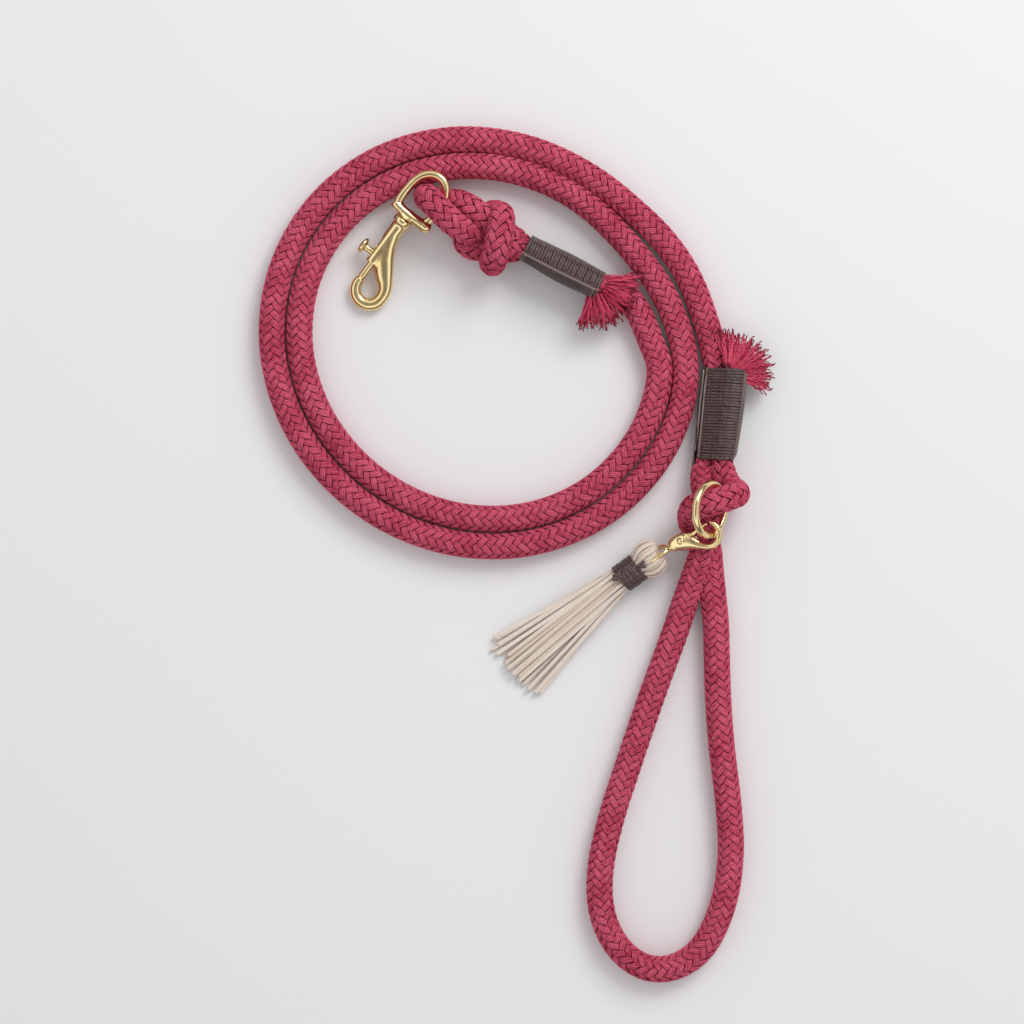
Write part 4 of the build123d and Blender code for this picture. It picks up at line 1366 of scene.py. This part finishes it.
# %% Twine
def waxed_twine():
    finish = Finish("waxed_twine", Coat_Roughness=0.3, Coat_Weight=0.1)
    uv = finish.uv_place()
    along_way, round_way = finish.uv_parts(uv)
    tone = finish.noise(finish.object_place(), 520.0, 3.0)
    phase = along_way * 4.2 + round_way * 2.0 + tone * 2.4
    plies = finish.waves(phase * full_turn)
    fibre = finish.streaks(uv, 9.0, 14.0, 4.0)
    lit = finish.ramp(plies * 0.25 + fibre * 1.1 + tone * 0.3, 0.5, 1.15)
    colour = finish.mix(lit, (0.016, 0.008, 0.008, 1), (0.19, 0.125, 0.118, 1))
    finish.bump(plies * 0.6 + fibre, 0.0002, 0.8)
    return finish.done(Base_Color=colour, Roughness=finish.ramp(fibre, 0.3, 0.7, 0.42, 0.6))


# %% Suede
def cream_suede(name, top, side, deep):
    nap_light = {"Sheen_Weight": 0.25, "Sheen_Roughness": 0.6, "Specular_IOR_Level": 0.2}
    finish = Finish(name, Roughness=0.95, **nap_light)
    uv = finish.uv_place()
    place = finish.object_place()
    round_way = finish.uv_parts(uv)[1]
    edge = finish.waves((round_way * 2.0 - 0.875) * full_turn)
    edge = finish.ramp(edge, 0.72, 0.98)
    nap = finish.streaks(uv, 9.0, 8.0, 4.0)
    speck = finish.noise(place, 2600.0, 2.0)
    patch = finish.noise(place, 130.0, 3.0)
    tone = finish.attribute("tone") * 0.35 + nap * 0.5 + patch * 0.35 + speck * 0.2
    colour = finish.mix(finish.ramp(tone, 0.35, 0.95), side, top)
    colour = finish.mix(edge * 0.8, colour, deep)
    finish.bump(nap * 0.5 + speck * 0.5, 0.00012, 0.8)
    return finish.done(Base_Color=colour)


# %% Frayed cotton
def frayed_cotton():
    finish = Finish("frayed_cotton", Roughness=0.95, Specular_IOR_Level=0.15, **cotton_sheen)
    uv = finish.uv_place()
    along_way, round_way = finish.uv_parts(uv)
    ply = finish.waves((along_way * 6.0 + round_way * 2.0) * full_turn)
    fibre = finish.streaks(uv, 20.0, 6.0, 3.0)
    tone = finish.attribute("tone") * 0.55 + fibre * 0.6 + ply * 0.15
    tip = finish.ramp(finish.attribute("tip"), 0.8, 1.0)
    colour = finish.mix(finish.ramp(tone, 0.1, 1.1) * 0.6, cotton_middle, cotton_bright)
    colour = finish.mix(tip * 0.7, colour, cotton_shade_and_tips)
    finish.bump(ply + fibre * 0.5, 0.00012, 0.7)
    return finish.done(Base_Color=colour)


# %% Brass and steel
def polished_brass():
    finish = Finish("polished_brass", Metallic=1.0, Coat_Roughness=0.12)
    place = finish.object_place()
    haze = finish.noise(place, 260.0, 4.0)
    tarnish = finish.ramp(finish.noise(place, 90.0, 3.0), 0.45, 0.75)
    colour = finish.mix(tarnish, (0.86, 0.69, 0.38, 1), (0.74, 0.54, 0.25, 1))
    finish.bump(haze, 0.00001, 0.1)
    return finish.done(Base_Color=colour, Roughness=finish.ramp(haze, 0.25, 0.75, 0.13, 0.22))


def spring_steel():
    finish = Finish("spring_steel", Metallic=1.0)
    haze = finish.noise(finish.object_place(), 700.0, 3.0)
    colour = finish.mix(haze, (0.35, 0.34, 0.33, 1), (0.55, 0.54, 0.53, 1))
    return finish.done(Base_Color=colour, Roughness=finish.ramp(haze, 0.3, 0.7, 0.25, 0.4))


brass = polished_brass()
steel = spring_steel()
dressed(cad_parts["gate_spring"], steel)
fitted(bolt_coil, steel, "snap", "steel", "bolt_spring")
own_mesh(bolt_coil)
for piece, body, nodes in [
    (snap_body, "snap", ["snap_body"]), (snap_eye, "eye", ["snap_eye"]),
    (snap_bolt, "bolt", ["bolt", "thumb_knob"]), (tassel_ring, "ring", ["tassel_ring"]),
    (clasp_body, "clasp", ["clasp_body", "gate_pin"]), (clasp_gate, "gate", ["clasp_gate"]),
    (clasp_eye, "clasp_eye", ["clasp_eye"]),
]:
    fitted(piece, brass, body, "brass", *nodes)

# %% Dress the soft fittings
leather = brown_leather()
twine = waxed_twine()
suede = cream_suede(
    "cream_suede", (0.88, 0.78, 0.68, 1), (0.74, 0.61, 0.49, 1), (0.40, 0.27, 0.18, 1),
)
# A dark copy of the suede dresses the tassel's core: painted shade inside the head, between the
# strips.
suede_painted_shade = cream_suede(
    "suede_painted_shade", (0.30, 0.20, 0.13, 1), (0.22, 0.14, 0.09, 1), (0.15, 0.09, 0.055, 1),
)
frayed = frayed_cotton()
for piece, finish, body, slot, nodes in [
    (snap_leather, leather, "rope", "leather", ["snap_collar"]),
    (hand_leather, leather, "rope", "leather", ["hand_collar"]),
    (lacings["snap_collar"], twine, "rope", "twine", ["snap_collar_lacing"]),
    (lacings["hand_collar"], twine, "rope", "twine", ["hand_collar_lacing"]),
    (fringes["snap_fringe"], frayed, "rope", "rope", ["snap_end_fringe"]),
    (fringes["hand_fringe"], frayed, "rope", "rope", ["hand_end_fringe"]),
    (tassel_strips, suede, "tassel", "suede", ["tassel_head", "tassel_strands"]),
    (tassel_core, suede_painted_shade, "tassel", "suede", ["tassel_head"]),
    (tassel_lashing, twine, "tassel", "twine", ["tassel_lashing"]),
]:
    fitted(piece, finish, body, slot, *nodes)

# %% [markdown]
# ## Floor, sky and lamp
# The floor is pale and plain and keeps the soft shadow. Brass looks like brass because it
# reflects light and dark, so the sky has bands of both, which only glossy rays see. Every
# other ray sees an even, pale sky.

# %% Floor
def pale_paper():
    finish = Finish("pale_paper", Roughness=0.9)
    grain = finish.noise(finish.object_place(), 3.0, 2.0)
    colour = finish.mix(grain, (0.87, 0.87, 0.875, 1), (0.89, 0.89, 0.895, 1))
    return finish.done(Base_Color=colour)


bpy.ops.mesh.primitive_plane_add(size=6)
floor = bpy.context.active_object
floor.name = "floor"
dressed(floor, pale_paper())

# %% Sky and lamp
world = bpy.data.worlds.new("studio")
bpy.context.scene.world = world
world.use_nodes = True
background = world.node_tree.nodes["Background"]
background.inputs["Color"].default_value = (0.985, 0.985, 1.0, 1)
background.inputs["Strength"].default_value = 0.63
sky = world.node_tree
direction, height, panels, reflected, light_path, seen = (
    sky.nodes.new("ShaderNode" + kind)
    for kind in ("TexCoord", "SeparateXYZ", "ValToRGB", "Background", "LightPath", "MixShader")
)
panel_stops = [
    (0.0, 0.30), (0.22, 0.16), (0.40, 0.30), (0.52, 1.25), (0.74, 1.35), (0.84, 0.55),
    (0.93, 0.20), (0.975, 0.42), (1.0, 0.5),
]
while len(panels.color_ramp.elements) < len(panel_stops):
    panels.color_ramp.elements.new(0.5)
for element, (stop, level) in zip(panels.color_ramp.elements, panel_stops):
    element.position = stop
    element.color = (level, level * 0.985, level * 0.96, 1)
for source, output, node, socket in [
    (direction, "Generated", height, 0), (height, "Z", panels, "Fac"),
    (panels, "Color", reflected, "Color"), (light_path, "Is Glossy Ray", seen, "Fac"),
    (background, "Background", seen, 1), (reflected, "Background", seen, 2),
    (seen, "Shader", sky.nodes["World Output"], "Surface"),
]:
    sky.links.new(source.outputs[output], node.inputs[socket])

lamp_place, lamp_target = Vector((0.75, 1.05, 1.2)), Vector((0, 0.02, 0))
lamp_data = bpy.data.lights.new("window", "AREA")
lamp_data.size = 0.9
lamp_data.energy = 14
lamp = bpy.data.objects.new("window", lamp_data)
lamp.location = lamp_place
lamp.rotation_euler = (lamp_target - lamp_place).to_track_quat("-Z", "Y").to_euler()
bpy.context.scene.collection.objects.link(lamp)
bpy.context.scene.view_settings.view_transform = "Standard"
